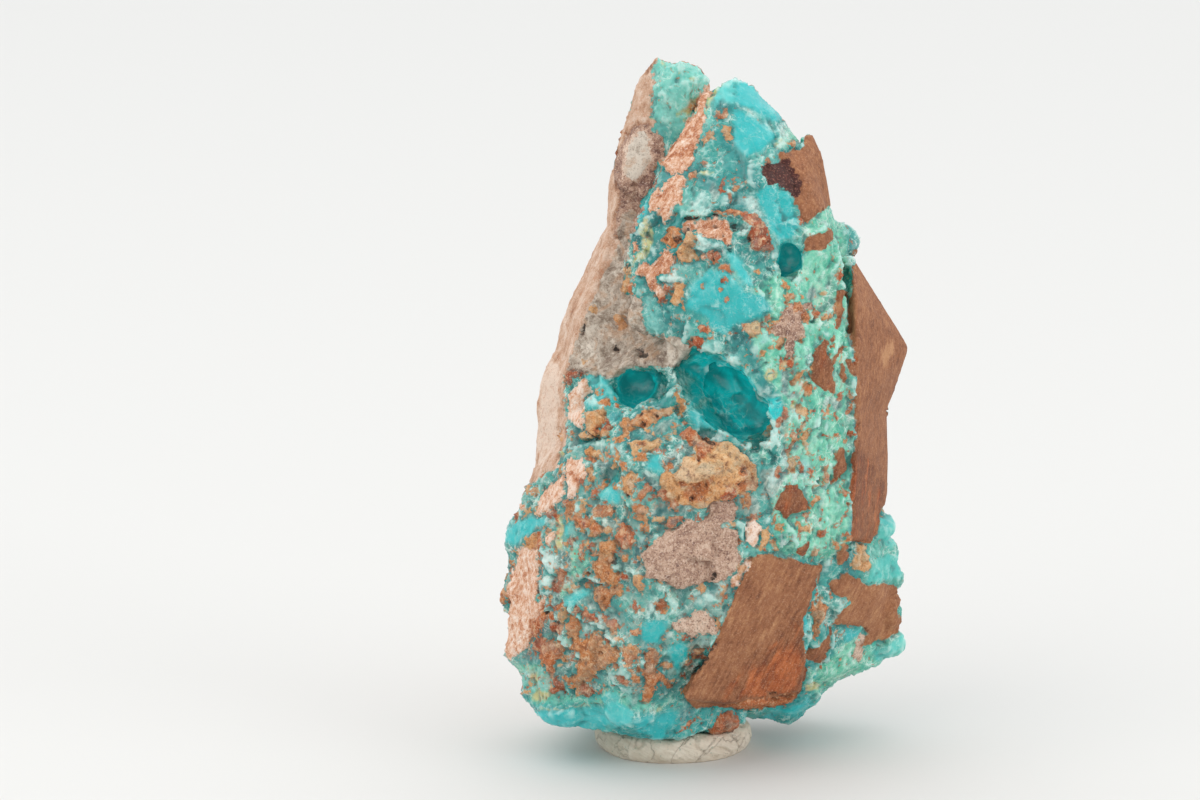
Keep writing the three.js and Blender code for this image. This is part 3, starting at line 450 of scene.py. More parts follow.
# %% Peach rock
PEACH = [
    # the two upper bands
    (-0.25, [(3.2, 63.9), (2.3, 63.1), (2, 62.6), (1.9, 61.2), (1.2, 60.7), (-1, 57), (-1.6, 56.5), (-0.6, 55.7),
      (0.4, 55.7), (1.3, 56), (1.6, 56.6), (1.7, 57.2), (2.4, 59), (2.7, 60.2), (2.9, 62.4), (3.6, 63.6), (4, 63.9)]),
    (-0.1, [(-2.3, 53.4), (-2, 53.9), (-1.4, 54.3), (-1.2, 53.6), (-1, 54.8), (0.4, 55.7), (1, 55.2), (0.95, 54.5),
      (0.7, 54), (0.8, 53.2), (0.7, 52.8), (0, 52.8), (-0.8, 51), (-1.2, 50.7), (-1.4, 51.4), (-1.4, 52.3),
      (-2.5, 51.8), (-2.5, 52.6)]),
    (-0.3, [(-4, 49), (-3.6, 49.3), (-3.4, 48.4), (-3.9, 47.6), (-4.1, 48.2)]),
    (-0.2, [(-4.1, 46), (-3.9, 45.7), (-3.6, 44.8), (-3.9, 44.9)]),
    # the porous clasts under the arc, and the striped ones beside them
    (-0.35, [(2, 50.9), (3.4, 51.3), (4.2, 51.3), (4.8, 51), (5.6, 50), (5.2, 48.6), (4.8, 48.6), (4.2, 49.2),
      (3.4, 49.3), (2.1, 49.9)]),
    (-0.4, [(0.6, 50.8), (1, 51.1), (1.9, 51), (1.8, 50.2), (1.3, 50), (0.8, 50.2)]),
    (0.1, [(2.3, 47.2), (2.4, 48), (2.9, 48), (3, 47.2)]),
    (-0.4, [(-2.4, 46.6), (-1.3, 48), (-0.9, 48.3), (-0.1, 47.9), (0, 47.3), (-0.8, 46.1), (-1.5, 45.9), (-1.7, 45.3),
      (-0.9, 44.2), (-0.9, 43.6), (-1.4, 43), (-2.5, 46)]),
    (-0.3, [(-3.6, 46), (-3.4, 46.8), (-2.7, 47.4), (-2.4, 47), (-2.4, 46.2), (-1.7, 44.6), (-2.2, 44.4),
      (-2.6, 44.9), (-2.9, 45.8), (-3.4, 45.8)]),
    # beside the shelf and below it
    (0.5, [(-10.2, 34.4), (-9.1, 35.5), (-8.8, 36.1), (-8.3, 36.1), (-8.2, 35.3), (-7.7, 35), (-8.5, 33.8),
      (-8.4, 33.1), (-8.7, 32.9), (-8.7, 32), (-8.9, 31.1), (-9.3, 31.3), (-9.6, 31.9), (-10.2, 32.4), (-10, 33.4)]),
    (0.2, [(-10.2, 28.2), (-9.6, 28.4), (-8.8, 28.4), (-8.4, 27.8), (-8.5, 26.6), (-9.8, 24.1), (-10.1, 24.6),
      (-10.3, 26.8)]),
    (0.1, [(-10.5, 27), (-10.4, 26.2), (-10.9, 24.3), (-11.4, 23.5), (-12.2, 23), (-13.5, 22.8), (-12.6, 24.6),
      (-11.9, 25.6)]),
    (-0.1, [(-14.6, 24), (-14, 23.9), (-14.2, 23.1), (-14.7, 23.4)]),
    (0.1, [(-12.2, 20.6), (-11.6, 21.4), (-11.3, 21.2), (-11.5, 20.4), (-11.8, 19.9), (-12.3, 19.7)]),
    # the broad face on the lower left
    (0.1, [(-14.6, 19.8), (-12.9, 20.4), (-13, 19.5), (-12.9, 18.5), (-13, 17.5), (-12.9, 15.4), (-13.1, 14.6),
      (-12.6, 14.9), (-12.2, 14.9), (-12.2, 14.4), (-13.9, 10.4), (-14.6, 9.4), (-15.4, 8.7), (-16, 8.6), (-16.8, 10),
      (-16.6, 12), (-15.8, 13), (-15.7, 14.2), (-16, 15.4), (-15.8, 16.4), (-15.2, 17.6)]),
    # beside the block
    (0.6, [(6.8, 21.5), (7, 22.3), (7.6, 22.6), (8.2, 22.1), (8.6, 21.5), (8, 20.9), (8, 20), (7.6, 19.7),
      (7, 20.4)]),
    (0.3, [(5.6, 16.6), (7.4, 18.7), (7.6, 18.3), (6.6, 17), (6, 15.9), (5.6, 15.5)]),
]
print("peach patches:", len(PEACH))

# %% Pink, grey and tan rock
PINK = [
    (0, [(-3.2, 19.2), (-2.7, 17.4), (-2.9, 16.8), (-0.6, 16.1), (0.3, 15.5), (1, 15.4), (2.4, 16), (3.4, 16),
      (5, 16.6), (5.8, 17.3), (6.3, 18), (7, 18.4), (6.2, 19.4), (6, 21.4), (5.4, 21.7), (4.6, 21.8), (4.6, 22.2),
      (5.9, 22.4), (6.1, 23.6), (5.8, 24.2), (4.2, 24.2), (3.4, 23.9), (3, 22.4), (0.9, 22.2), (0.4, 21.6),
      (-0.6, 21.5), (-0.9, 21), (-1.8, 20.2), (-2.4, 19.9)]),
    (-0.7, [(-0.9, 17.2), (-0.3, 17.3), (0.3, 17.1), (0.1, 16.6), (-0.8, 16.6)]),
    (-0.6, [(0.4, 18.4), (0.9, 18.9), (1, 18), (0.7, 17.9)]),
    (0.6, [(-0.2, 12.2), (0.2, 12.6), (1, 12.8), (2.4, 13.6), (3.4, 13.4), (3.9, 12.8), (4.5, 11.6), (4.2, 11.1),
      (3.4, 11.1), (2.6, 11.4), (2, 11), (1.6, 10.4), (1.2, 11.4), (0.4, 11.5), (-0.1, 11.8)]),
    (-0.5, [(9, 40.3), (9.2, 41), (9.8, 41.8), (10.2, 42.8), (11, 43.3), (12, 43.2), (12.9, 43.4), (13, 42.8),
      (12.2, 42.4), (12.1, 40.6), (12.2, 39.8), (11.3, 39.6), (11.2, 38.9), (11.3, 38), (10.4, 38), (10.2, 39),
      (10.4, 39.9), (9.6, 40)]),
    (0.8, [(17.3, 9.9), (17.7, 11.2), (18.3, 11.4), (18.2, 9.2), (17.9, 8.4), (17.2, 8.8)]),
    # red-brown grains between the summit and the grey face
    (-0.5, [(-4.3, 59.6), (-3.4, 60.3), (-2.6, 60.2), (-2.2, 59.7), (-1.2, 58.9), (-0.8, 58.2), (-1, 57.3),
      (-1.7, 56.3), (-1.9, 55), (-2.6, 53.6), (-3.5, 52.4), (-4.1, 50.4), (-5.1, 50.2), (-5, 52.5), (-5.5, 54.5),
      (-5.7, 56.3), (-5.2, 58)]),
    (-0.9, [(-3.2, 55.4), (-2.4, 55.7), (-1.9, 55.2), (-2, 54.4), (-2.8, 54.2), (-3.4, 54.6)]),
    (-0.9, [(-2.3, 58.2), (-1.9, 58.7), (-1.4, 58.4), (-1.6, 57), (-2.2, 57.2)]),
]
GREY = [
    (0, [(-3.6, 52.2), (-4.1, 50.4), (-4.9, 44.4), (-4, 43.9), (-3, 43.9), (-2.9, 41), (-2.2, 40.1), (0.2, 40.2),
      (0.9, 39.8), (1.4, 38.9), (1.5, 38.2), (1, 37.6), (0.3, 37.1), (-0.8, 37), (-2.8, 37.2), (-4, 37.1), (-5, 36.6),
      (-5.7, 36), (-6.4, 36), (-7, 36.5), (-8, 36.6), (-9.2, 36.4), (-10.2, 36.9), (-9.7, 38.8), (-8.3, 42),
      (-7.6, 44), (-5.4, 48.3), (-4.8, 52)]),
    (0.9, [(-4.7, 56.1), (-4.5, 57.7), (-3.9, 59), (-3.2, 59.7), (-2.5, 59), (-2.2, 57), (-2.6, 55.8), (-3.4, 55.4),
      (-3.8, 54.9), (-4.6, 55.1)]),
    (-0.5, [(-4, 38.6), (-3.2, 39), (-0.8, 39), (-0.4, 38.3), (-0.9, 37.6), (-2, 37.5), (-3, 37.8)]),
    (0.5, [(-0.9, 39.9), (0.4, 40.1), (1.4, 39.2), (1.4, 38), (0.3, 37.3), (-0.6, 37.6)]),
    (-0.6, [(-5.4, 50.3), (-4.9, 51), (-4.4, 50.6), (-4.6, 49.2)]),
    (0.4, [(-8.8, 39.8), (-7.6, 41.6), (-6.8, 40.6), (-7.4, 38.4), (-8.4, 37.4), (-9.2, 38.2)]),
]
TAN = [
    (0.1, [(-1.8, 67.4), (-2.8, 67), (-3.8, 65.2), (-4.2, 63.5), (-4.4, 61.4), (-5.4, 59.5), (-6.8, 57.5), (-7.2, 55),
      (-7, 52), (-7.8, 49), (-9.8, 45.5), (-11.2, 42.5), (-12.2, 39.5), (-13.4, 37.5), (-14.2, 34), (-14.2, 28.2),
      (-14.6, 26.2), (-13.1, 26), (-12, 27.1), (-11.3, 27.3), (-10.9, 28.7), (-10.3, 29.6), (-10.2, 31.6),
      (-10.5, 37), (-8.3, 42), (-7.6, 44), (-5.4, 48.3), (-5.1, 50.5), (-5, 52.5), (-5.4, 54.5), (-5.3, 56.3),
      (-5, 58), (-4.3, 59.5), (-2.6, 60.4), (-2.2, 62), (-2, 64), (-2.2, 65.4), (-1.7, 66.4)]),
    (-1, [(-1.6, 67.2), (-2.8, 67), (-3.8, 65.6), (-3.3, 65), (-2.3, 65.1)]),
    # a darker streak beside the edge of the grey face: painted shade
    (-0.7, [(-5.6, 59.8), (-6.9, 57.5), (-7.2, 55), (-6.4, 54.6), (-6.1, 56.6), (-5.3, 58.6)]),
    (0.8, [(-13.2, 32), (-12.6, 36), (-11.4, 38), (-10.9, 35.6), (-10.8, 33), (-11.4, 29), (-12.8, 27.4)]),
]
print("pink, grey and tan patches:", len(PINK), len(GREY), len(TAN))

# %% Maroon rock, cracks and pits, with painted shadow lines
MAROON = [
    (0, [(8.2, 56.3), (9.6, 56.8), (10.6, 56.8), (11.5, 55.6), (11.8, 54.8), (11.7, 53.8), (11.4, 53.3), (9.6, 54.5),
      (8.8, 54.6), (8.4, 55)]),
]
# Cracks and shadow lines: each is sunk a little in the relief and painted near-black, partly a real crack and partly
# painted shadow under an undercut edge.
CRACKS_AND_SHADOW_LINES = [
    (0, [(-8.6, 31.3), (-8.3, 31.2), (-7.3, 30.2), (-7.5, 30)]),
    (0, [(2.5, 30.3), (4.2, 29.8), (3.6, 29.75), (2.8, 29.9)]),
    (0, [(1.9, 7.4), (4, 10.6), (4.3, 10.6), (2.3, 7.4)]),
    (0, [(5.9, 25.9), (6.4, 26), (7.3, 26.4), (6.4, 25.8)]),
    (0, [(0.5, 51), (1, 51.4), (1.9, 51.4), (2.1, 51), (1.6, 51.2)]),
    (0, [(3.6, 51.7), (4.2, 51.7), (4.3, 51.4), (3.6, 51.35)]),
    (0, [(5.2, 50.8), (5.8, 50.7), (5.8, 50.2), (5.4, 50.2)]), (0, [(5, 48.6), (5.3, 48.7), (5.2, 48.3)]),
    (0, [(-8.9, 40.2), (-8.4, 41.5), (-8.3, 41.2), (-8.7, 40.2)]),
    (0, [(-3.6, 38.6), (-3.1, 38.9), (-2.6, 38.2), (-3.2, 38.2)]),
    (0, [(-5.7, 38.7), (-5.3, 39.2), (-5, 38.8)]), (0, [(-12.85, 16), (-12.75, 15.4), (-12.9, 15)]),
    (0, [(6.5, 27.5), (6.6, 27.4), (6.5, 26.8), (6.4, 26.9)]),
]
# Pits are real hollows. They join the shadow lines, so they are sunk and painted near-black as their shade.
PITS = [  # across, up and radius
    (2.4, 28.15, 0.14), (1.1, 50.15, 0.25), (-0.6, 49.4, 0.18), (0.35, 49.3, 0.22), (4.2, 50, 0.13),
    (3.8, 50.6, 0.1), (4.6, 49.7, 0.12), (6.9, 49.4, 0.16), (-5.7, 18.3, 0.25), (-8.1, 17.2, 0.16),
    (-2.9, 29.6, 0.14), (3.9, 17.1, 0.2), (3.6, 16.6, 0.12), (-7.1, 31.1, 0.16), (-2.8, 31.7, 0.2),
    (-1.5, 32.3, 0.16), (-3.1, 32.5, 0.12), (0.3, 34.9, 0.1), (1.8, 24.4, 0.25), (0.8, 26, 0.12),
    (-12.1, 13.3, 0.14), (-4.5, 24.7, 0.16), (16.6, 33.6, 0.12), (3.6, 47.5, 0.12), (0.95, 43.25, 0.12),
    (9.4, 5.4, 0.18),
]
CRACKS_AND_SHADOW_LINES += [(0, [(across, up)], radius) for across, up, radius in PITS]
print("maroon patches and cracks:", len(MAROON), len(CRACKS_AND_SHADOW_LINES))

# %% Glassy hemimorphite
TEAL = [
    # the glassy facets of the peak, one pale and one bright
    (1, [(5, 64.8), (5.5, 64.7), (5.5, 62.4), (5.2, 61.9), (4.2, 62.2), (3.7, 61.6), (3.5, 62.6), (4, 63.6),
      (4.8, 64)]),
    (0.75, [(5.5, 65), (7.2, 64.6), (8.6, 63.4), (9.6, 62.2), (10.2, 60.8), (9.4, 60.2), (8.4, 60.6), (5.5, 62.2)]),
    (0.45, [(5.4, 62), (9.2, 60), (9.4, 59), (8.4, 57.8), (6.6, 57), (5.6, 58)]),
    # the facet and the hole above the right panel
    (0.2, [(7.6, 53.7), (8, 54.2), (8.6, 54.6), (10.4, 54), (11.2, 53.2), (11.6, 50.4), (11.2, 49.3), (9.8, 49.1),
      (8.9, 50.2)]),
    (-0.5, [(9.9, 49), (11.2, 49.2), (11.7, 48.4), (12.2, 46.6), (10.2, 45.9), (9.7, 47)]),
    (-0.9, [(10, 47), (10.2, 46), (10.9, 46.2), (10.8, 47)]),
    # the deep cavity, its darkest wall, and the paler flank on its left
    (-0.5, [(0.5, 37.1), (1.5, 37.8), (2, 38.9), (5.2, 37.9), (6.6, 36.9), (7.9, 35.2), (8, 34.5), (10.1, 34.2),
      (10.6, 33.4), (10.3, 32.6), (9.3, 32.1), (8.7, 31.5), (8.5, 31), (7.2, 30.9), (6.8, 30.2), (6.2, 29.6),
      (5.9, 30.4), (5, 30.8), (4.2, 32), (4.1, 32.8), (3.4, 33.8), (2.4, 34.6), (2, 36.1)]),
    (-0.85, [(3.3, 34.4), (5, 31.4), (5.9, 30.4), (6.6, 30.2), (7, 30.9), (8.4, 31.2), (7, 32), (5.6, 32.2),
      (3.8, 34.6)]),
    (0.1, [(1.3, 35.8), (2, 36), (2.9, 34.2), (2.2, 33.4), (1.4, 33.4)]),
    (0.3, [(1.3, 33.2), (2.3, 33.3), (3, 33.9), (3.8, 33), (4.1, 32.2), (4.9, 31), (2, 31.4), (1.3, 32)]),
    # the shelf: a pale lump, the shallow cavity and the green below the lump
    (1, [(-8.6, 36.5), (-7.8, 36.6), (-6.7, 36.3), (-5.9, 35.5), (-5.1, 34.4), (-5.1, 33.7), (-5.9, 33.1),
      (-6.8, 33.2), (-7.5, 34), (-8.1, 35)]),
    (-0.7, [(-5.6, 36.1), (-4.6, 36.8), (-3.3, 37), (-2.1, 36.8), (-1.6, 36.3), (-1.6, 35.7), (-2.5, 33.7),
      (-3.7, 33.1), (-4.9, 33.7)]),
    (-0.9, [(-6.3, 32.9), (-5.2, 33.1), (-5, 32.3), (-5.2, 31.9), (-6, 31.9)]),
    (0, [(-8.4, 33.9), (-8, 34.1), (-7.3, 34), (-7.1, 33.3), (-7.6, 33), (-8.3, 33.1)]),
    # the dome below the arc, and its tongue
    (0.3, [(1.2, 42.8), (1.4, 45), (3, 46.6), (5, 46.4), (6.5, 44.6), (8.6, 44), (9.4, 42.4), (8, 41.6), (6, 41.4),
      (4.6, 40), (3.2, 41), (2.8, 42)]),
    (1, [(4.9, 47.9), (5.6, 48.3), (7.5, 45.4), (7.6, 44.9), (7.1, 44.6), (6.5, 45), (5.3, 46.8)]),
    (0.85, [(-3.9, 51.7), (-3.6, 52.3), (-2.4, 53.9), (-1.9, 54.8), (-1.4, 55.2), (-1.6, 54.6), (-2.2, 53.8),
      (-2.6, 52.9), (-2.6, 51.9), (-3.4, 50.2), (-3.9, 50), (-4, 50.8)]),
    # pools of turquoise over the speckled front
    (0.9, [(-7.5, 25), (-6.6, 25.6), (-5.6, 26.6), (-5.2, 26.5), (-5.6, 25.8), (-5.5, 25.4), (-5, 25), (-5, 24.2),
      (-5.3, 23.8), (-6.1, 23.7), (-6.6, 24.2), (-7.3, 24.4)]),
    (0.95, [(-2.5, 28.3), (-1.8, 28.9), (-1.1, 29), (-1.3, 28.3), (-0.9, 27), (-1.4, 26.5), (-2.2, 27.2),
      (-2.9, 27.3), (-3, 27.6)]),
    (0.8, [(-16.4, 20.2), (-16.2, 21.6), (-15, 22.4), (-13.8, 22.8), (-12.2, 22.8), (-11.9, 22.2), (-12.6, 21.6),
      (-13.4, 21.4), (-14.6, 20), (-15.2, 19.8)]),
    (0.85, [(-10.6, 21.6), (-9.6, 22.4), (-9.4, 21.6), (-9.5, 21), (-10.2, 20.7), (-10.5, 21)]),
    (1, [(-10.6, 14.2), (-10.2, 14.9), (-9.4, 15.6), (-8.6, 15.9), (-8, 15.6), (-8.1, 15), (-9.6, 13.9),
      (-10.3, 13.8)]),
    (0.3, [(-0.8, 9.6), (0.2, 10.6), (1, 10.8), (1.5, 9.8), (1.2, 8.6), (0.6, 7.6), (0.6, 6.6), (0, 6.4), (0.2, 7.6),
      (-0.2, 8.8)]),
    (0.2, [(-3, 12.4), (-0.6, 12.8), (-0.6, 11.6), (-1.2, 10.4), (-2.4, 10.2), (-3.2, 10.8)]),
    # the lobes along the bottom edge
    (0.8, [(-14, 3.9), (-11.6, 3.6), (-10.6, 4), (-9, 3.9), (-7.6, 4.1), (-6.5, 3.8), (-6.3, 2.8), (-6.5, 1.9),
      (-11, 1.1), (-12.6, 1.5), (-14, 2.4)]),
    (1, [(-7.2, 5.2), (-6.3, 5.7), (-5.2, 5.2), (-4.6, 4.2), (-3.6, 3.4), (-4, 2.4), (-5, 1.8), (-6.1, 1.8),
      (-6.6, 3), (-6.6, 4.2)]),
    (0.3, [(-4, 2.6), (-3, 3.2), (0, 3.8), (0.6, 3.4), (0.2, 2.4), (-1.2, 0.2), (-2, 0.2), (-2.4, 1.2), (-3.4, 1.4)]),
    # the right flank, from its shoulder down
    (0.9, [(19.4, 22.8), (21.6, 23), (21.8, 20.8), (20.6, 19.4), (19.8, 20.2), (19.2, 21.2)]),
    (0.3, [(19, 18.2), (20, 19), (21.6, 19.2), (22.4, 18), (21.8, 16.6), (18.2, 16.2)]),
    (1, [(18.8, 9.4), (19.6, 10.2), (21, 10.6), (21.9, 11.6), (22.6, 11.4), (22.4, 9.8), (21, 8.8), (19.6, 8.4)]),
    (0.3, [(16.2, 11.2), (16.6, 11.8), (17.8, 11.8), (18.4, 11.4), (17.4, 11), (16.8, 10.4), (16.3, 10.2)]),
    (0.75, [(12.3, 12.8), (12.9, 13.4), (13.2, 12.6), (13, 11.6), (12.4, 11.6)]),
    (0.8, [(12.3, 10), (12.9, 10.6), (13, 9.8), (12.6, 7.2), (12.2, 6), (12.1, 7.6)]),
    (0.2, [(13.2, 7.4), (14, 7.2), (14, 6.4), (13.4, 6.4)]),
    (0.1, [(9.4, 3.8), (11, 4), (12, 4.4), (13, 5.4), (13.4, 4.4), (12.2, 3.2), (10.6, 2.8), (9, 3)]),
    (-0.9, [(8.5, 3.1), (9.4, 3.2), (9.9, 2.6), (9.2, 2.2)]),
]
print("glassy patches:", len(TEAL))

# %% Frosted hemimorphite
FROST = [
    (0.7, [(5.5, 53.3), (6.6, 53.7), (7.4, 53.6), (8.5, 51.6), (8.9, 50.4), (8.6, 50.6), (7.9, 51.6), (6.8, 52.3),
      (5.6, 52.7)]),
    (0.6, [(5.8, 62.2), (9.4, 59.9), (9.4, 59.4), (5.8, 61.8)]),
    (0.7, [(1.9, 49.5), (2.5, 49.8), (2.8, 49.4), (4.3, 48.9), (4.9, 48.2), (5.2, 47.4), (4.7, 48), (4.2, 48.3),
      (3.4, 48.5), (2.2, 47.6)]),
    (0.9, [(-1.4, 45.4), (0, 46.8), (0.5, 46.8), (0.2, 46.2), (0.8, 45.6), (0.7, 45.2), (-0.2, 45.2), (-0.6, 44.6),
      (-1, 44.4)]),
    (0.5, [(1, 52.4), (1.8, 53.4), (2.8, 54), (3.4, 53), (3.4, 52), (2.4, 51.4), (1.4, 51.6)]),
    (0, [(-2.9, 43.8), (-2.4, 43.9), (-1.2, 42), (-0.8, 41), (-1, 40.3), (-2, 40.1), (-2.7, 40.6)]),
    (0.8, [(9.4, 60), (10.3, 60.4), (10.9, 60.1), (11.2, 59.2), (10.6, 58.6), (10.2, 57.9), (9.6, 57.3), (9.2, 57.6),
      (9.6, 58.6)]),
    (0.5, [(0, 63.4), (0.2, 62.6), (-0.4, 61.8), (-1.2, 61.6), (-1.4, 62.4)]),
    (0.4, [(-1.2, 61.4), (-0.2, 61.4), (0.2, 60.6), (-0.6, 60.2), (-1.4, 60.6)]),
    (0.3, [(-0.6, 64.8), (0, 65), (0, 64.4)]),
    (0.4, [(-2.3, 65.2), (-1.9, 65.8), (-1.6, 65), (-2.1, 62), (-2.3, 63.6)]),
    (0.2, [(3.1, 40), (4.4, 39.4), (5.6, 38.6), (6.6, 37.6), (6, 37.4), (4.6, 38.1), (3.2, 38.6), (3, 39.2)]),
    (0.6, [(6.8, 37), (7.4, 36.6), (7.4, 35.6), (9.4, 35.4), (8.9, 34.6), (8.1, 34.5), (7.9, 35.2), (7.2, 35.8)]),
    (0.5, [(0, 36.2), (0.8, 36.5), (1.6, 36.5), (1.9, 36.1), (1.4, 35.2), (1.3, 32.8), (1.1, 32.8), (1.1, 34),
      (0.9, 35.2), (0.4, 35.5)]),
    (0.3, [(1.6, 33.4), (2.8, 34.1), (3, 33.5), (2.4, 33.2)]),
    (1, [(2, 31.3), (3.2, 30.9), (3.8, 31), (4.6, 30.7), (4.8, 30.2), (4.3, 29.9), (3.6, 30), (3.3, 30.4)]),
    (0.1, [(8.8, 32.2), (9.9, 32.2), (10, 31), (9.8, 30), (8.8, 30), (8.6, 31)]),
    (0.5, [(9, 33.9), (9.4, 33.9), (9.3, 33.1), (9.1, 33.1)]),
    (0.6, [(10.6, 46), (11.3, 46.1), (12.2, 45.9), (11.8, 45.2), (10.9, 45.2)]),
    (0.4, [(8.1, 40.4), (9, 40.6), (9.2, 39.8), (8.6, 39.2), (8, 39.4)]),
    (0.6, [(12.4, 38.4), (12.9, 38.6), (13, 36.2), (12.6, 36.4), (12.4, 37.4)]),
    (0.5, [(11, 33.4), (12, 33.3), (12.4, 32.6), (11.8, 31.9), (11, 32.2)]),
    (0.7, [(11, 26.9), (11.6, 27), (12, 26.4), (11.6, 26), (11, 26.1)]),
    (0.3, [(11.8, 28.4), (12.9, 28.6), (13, 27.2), (12.6, 26), (13, 25), (12.4, 25), (11.6, 27.4)]),
    (0.6, [(14.1, 24.6), (14.4, 24.9), (14.6, 24.3), (14.2, 24)]),
    (0.5, [(16.7, 29.8), (17.1, 30), (16.9, 20.6), (16.75, 20.6), (16.9, 27.2)]),
    (0.5, [(16.5, 45), (16.7, 45), (16.3, 42), (17, 38), (16.9, 35.4), (16.75, 38), (16.1, 42)]),
    (1, [(-12.6, 19.2), (-11.8, 19.6), (-11.1, 19), (-11, 18), (-11.6, 17.6), (-12.5, 17.8)]),
    (0.9, [(-12.4, 16.4), (-11.8, 16.9), (-10.6, 17.1), (-9.4, 17.1), (-9.3, 16.6), (-9.6, 16.1), (-10.4, 15.9),
      (-11.2, 16.2), (-12.2, 15.9)]),
    (0.5, [(-8.4, 29.8), (-7.2, 30), (-6.2, 29.7), (-5, 29.6), (-4.6, 28.8), (-5.8, 29.2), (-6.6, 29.2),
      (-7.4, 29.6)]),
    (1, [(-6.8, 28.1)], 0.3), (1, [(-9, 23.6)], 0.35),
    (0.7, [(-12.6, 23.3), (-11.8, 23.2), (-11.2, 22.4), (-11.8, 22.2), (-12.4, 22.7)]),
    (0.6, [(2, 15.2), (3, 15.4), (3.8, 15.2), (4.2, 16.2), (4.9, 16.4), (5, 15.4), (3.6, 14), (3, 13.8), (2, 14.2)]),
    (1, [(4.9, 16.4), (5.3, 16.6), (5.5, 16), (5.2, 15.3), (5, 15.6)]),
    (0.7, [(-2.9, 13.4), (-2.6, 14.2), (-2, 14.6), (-1.6, 14), (-1.9, 13.2), (-2.4, 12.6)]),
    (0.7, [(-0.8, 11.2), (-0.3, 11.4), (0, 10.8), (-0.4, 10.4)]),
    (0.7, [(-8.8, 12.1), (-8.1, 12.4), (-7.6, 11.8), (-7.8, 11), (-8.6, 11.2)]),
    (1, [(5.1, 26.3), (5.4, 26.2), (6.1, 25.6), (6.5, 25), (6.9, 24.7), (6.6, 24.4), (5.9, 25.4), (5.3, 25.9)]),
    (0, [(-14.8, 7.4), (-14, 7.8), (-11.6, 6.8), (-11.4, 5.8), (-14.2, 5.2)]),
    (0.2, [(18.4, 19.6), (19.4, 20), (20.2, 19.2), (18.9, 17.6), (18.4, 18.6)]),
    (0.7, [(15, 14.4), (15.5, 14.8), (16.2, 14.6), (15.9, 14.2)]),
    (0.8, [(16.6, 9.4), (17.2, 9.8), (17.2, 8.8), (16.8, 8.6)]),
    (0.3, [(-4.6, 5.2), (-4.2, 5.9), (-3.9, 5), (-4.2, 4)]),
    (0.6, [(13.6, 18.2), (14.4, 18.6), (15.2, 18.3), (14.8, 17.4), (14, 17.2)]),
]
print("frosted patches:", len(FROST))

# %% Green hemimorphite, and its slaty threads
MINT = [
    (0, [(7, 45), (12, 48), (12, 52), (14.4, 53), (16.4, 50), (17, 40), (17.3, 30), (16.9, 19.8), (14.4, 18),
      (9.6, 19), (9, 23), (10, 28), (10.6, 33), (8, 37), (7, 40)]),
    (0, [(-15.4, 8.4), (-13.4, 8.6), (-11.4, 6.2), (-8, 5), (-6.2, 5.8), (-1.2, 4.6), (0, 5.4), (0.6, 4.4),
      (-1.4, 3.6), (-4, 3.4), (-7, 4.2), (-13.8, 4)]),
    (0, [(9.4, 59.6), (11, 60.8), (12.4, 59.8), (12, 58.3), (10.8, 58.2), (10, 57), (9.2, 57.6)]),
    (0, [(-9.8, 20), (-8.4, 19.4), (-7.6, 18.6), (-8.8, 16.6), (-10.8, 14), (-9, 12.4), (-10.4, 12.6), (-11.8, 14.6),
      (-10.6, 17.4)]),
    (0, [(-7, 22.6), (-5.4, 23), (-4.8, 22.4), (-6.6, 21.2)]),
    (0, [(12.6, 8), (14.4, 8.6), (16, 10.6), (18, 11.4), (18.4, 10), (21, 10), (23, 12), (21, 8), (14, 5),
      (12.4, 6)]),
    (0, [(6.8, 29.2), (8.6, 29.2), (9.4, 28), (8.4, 27.9)]),
]
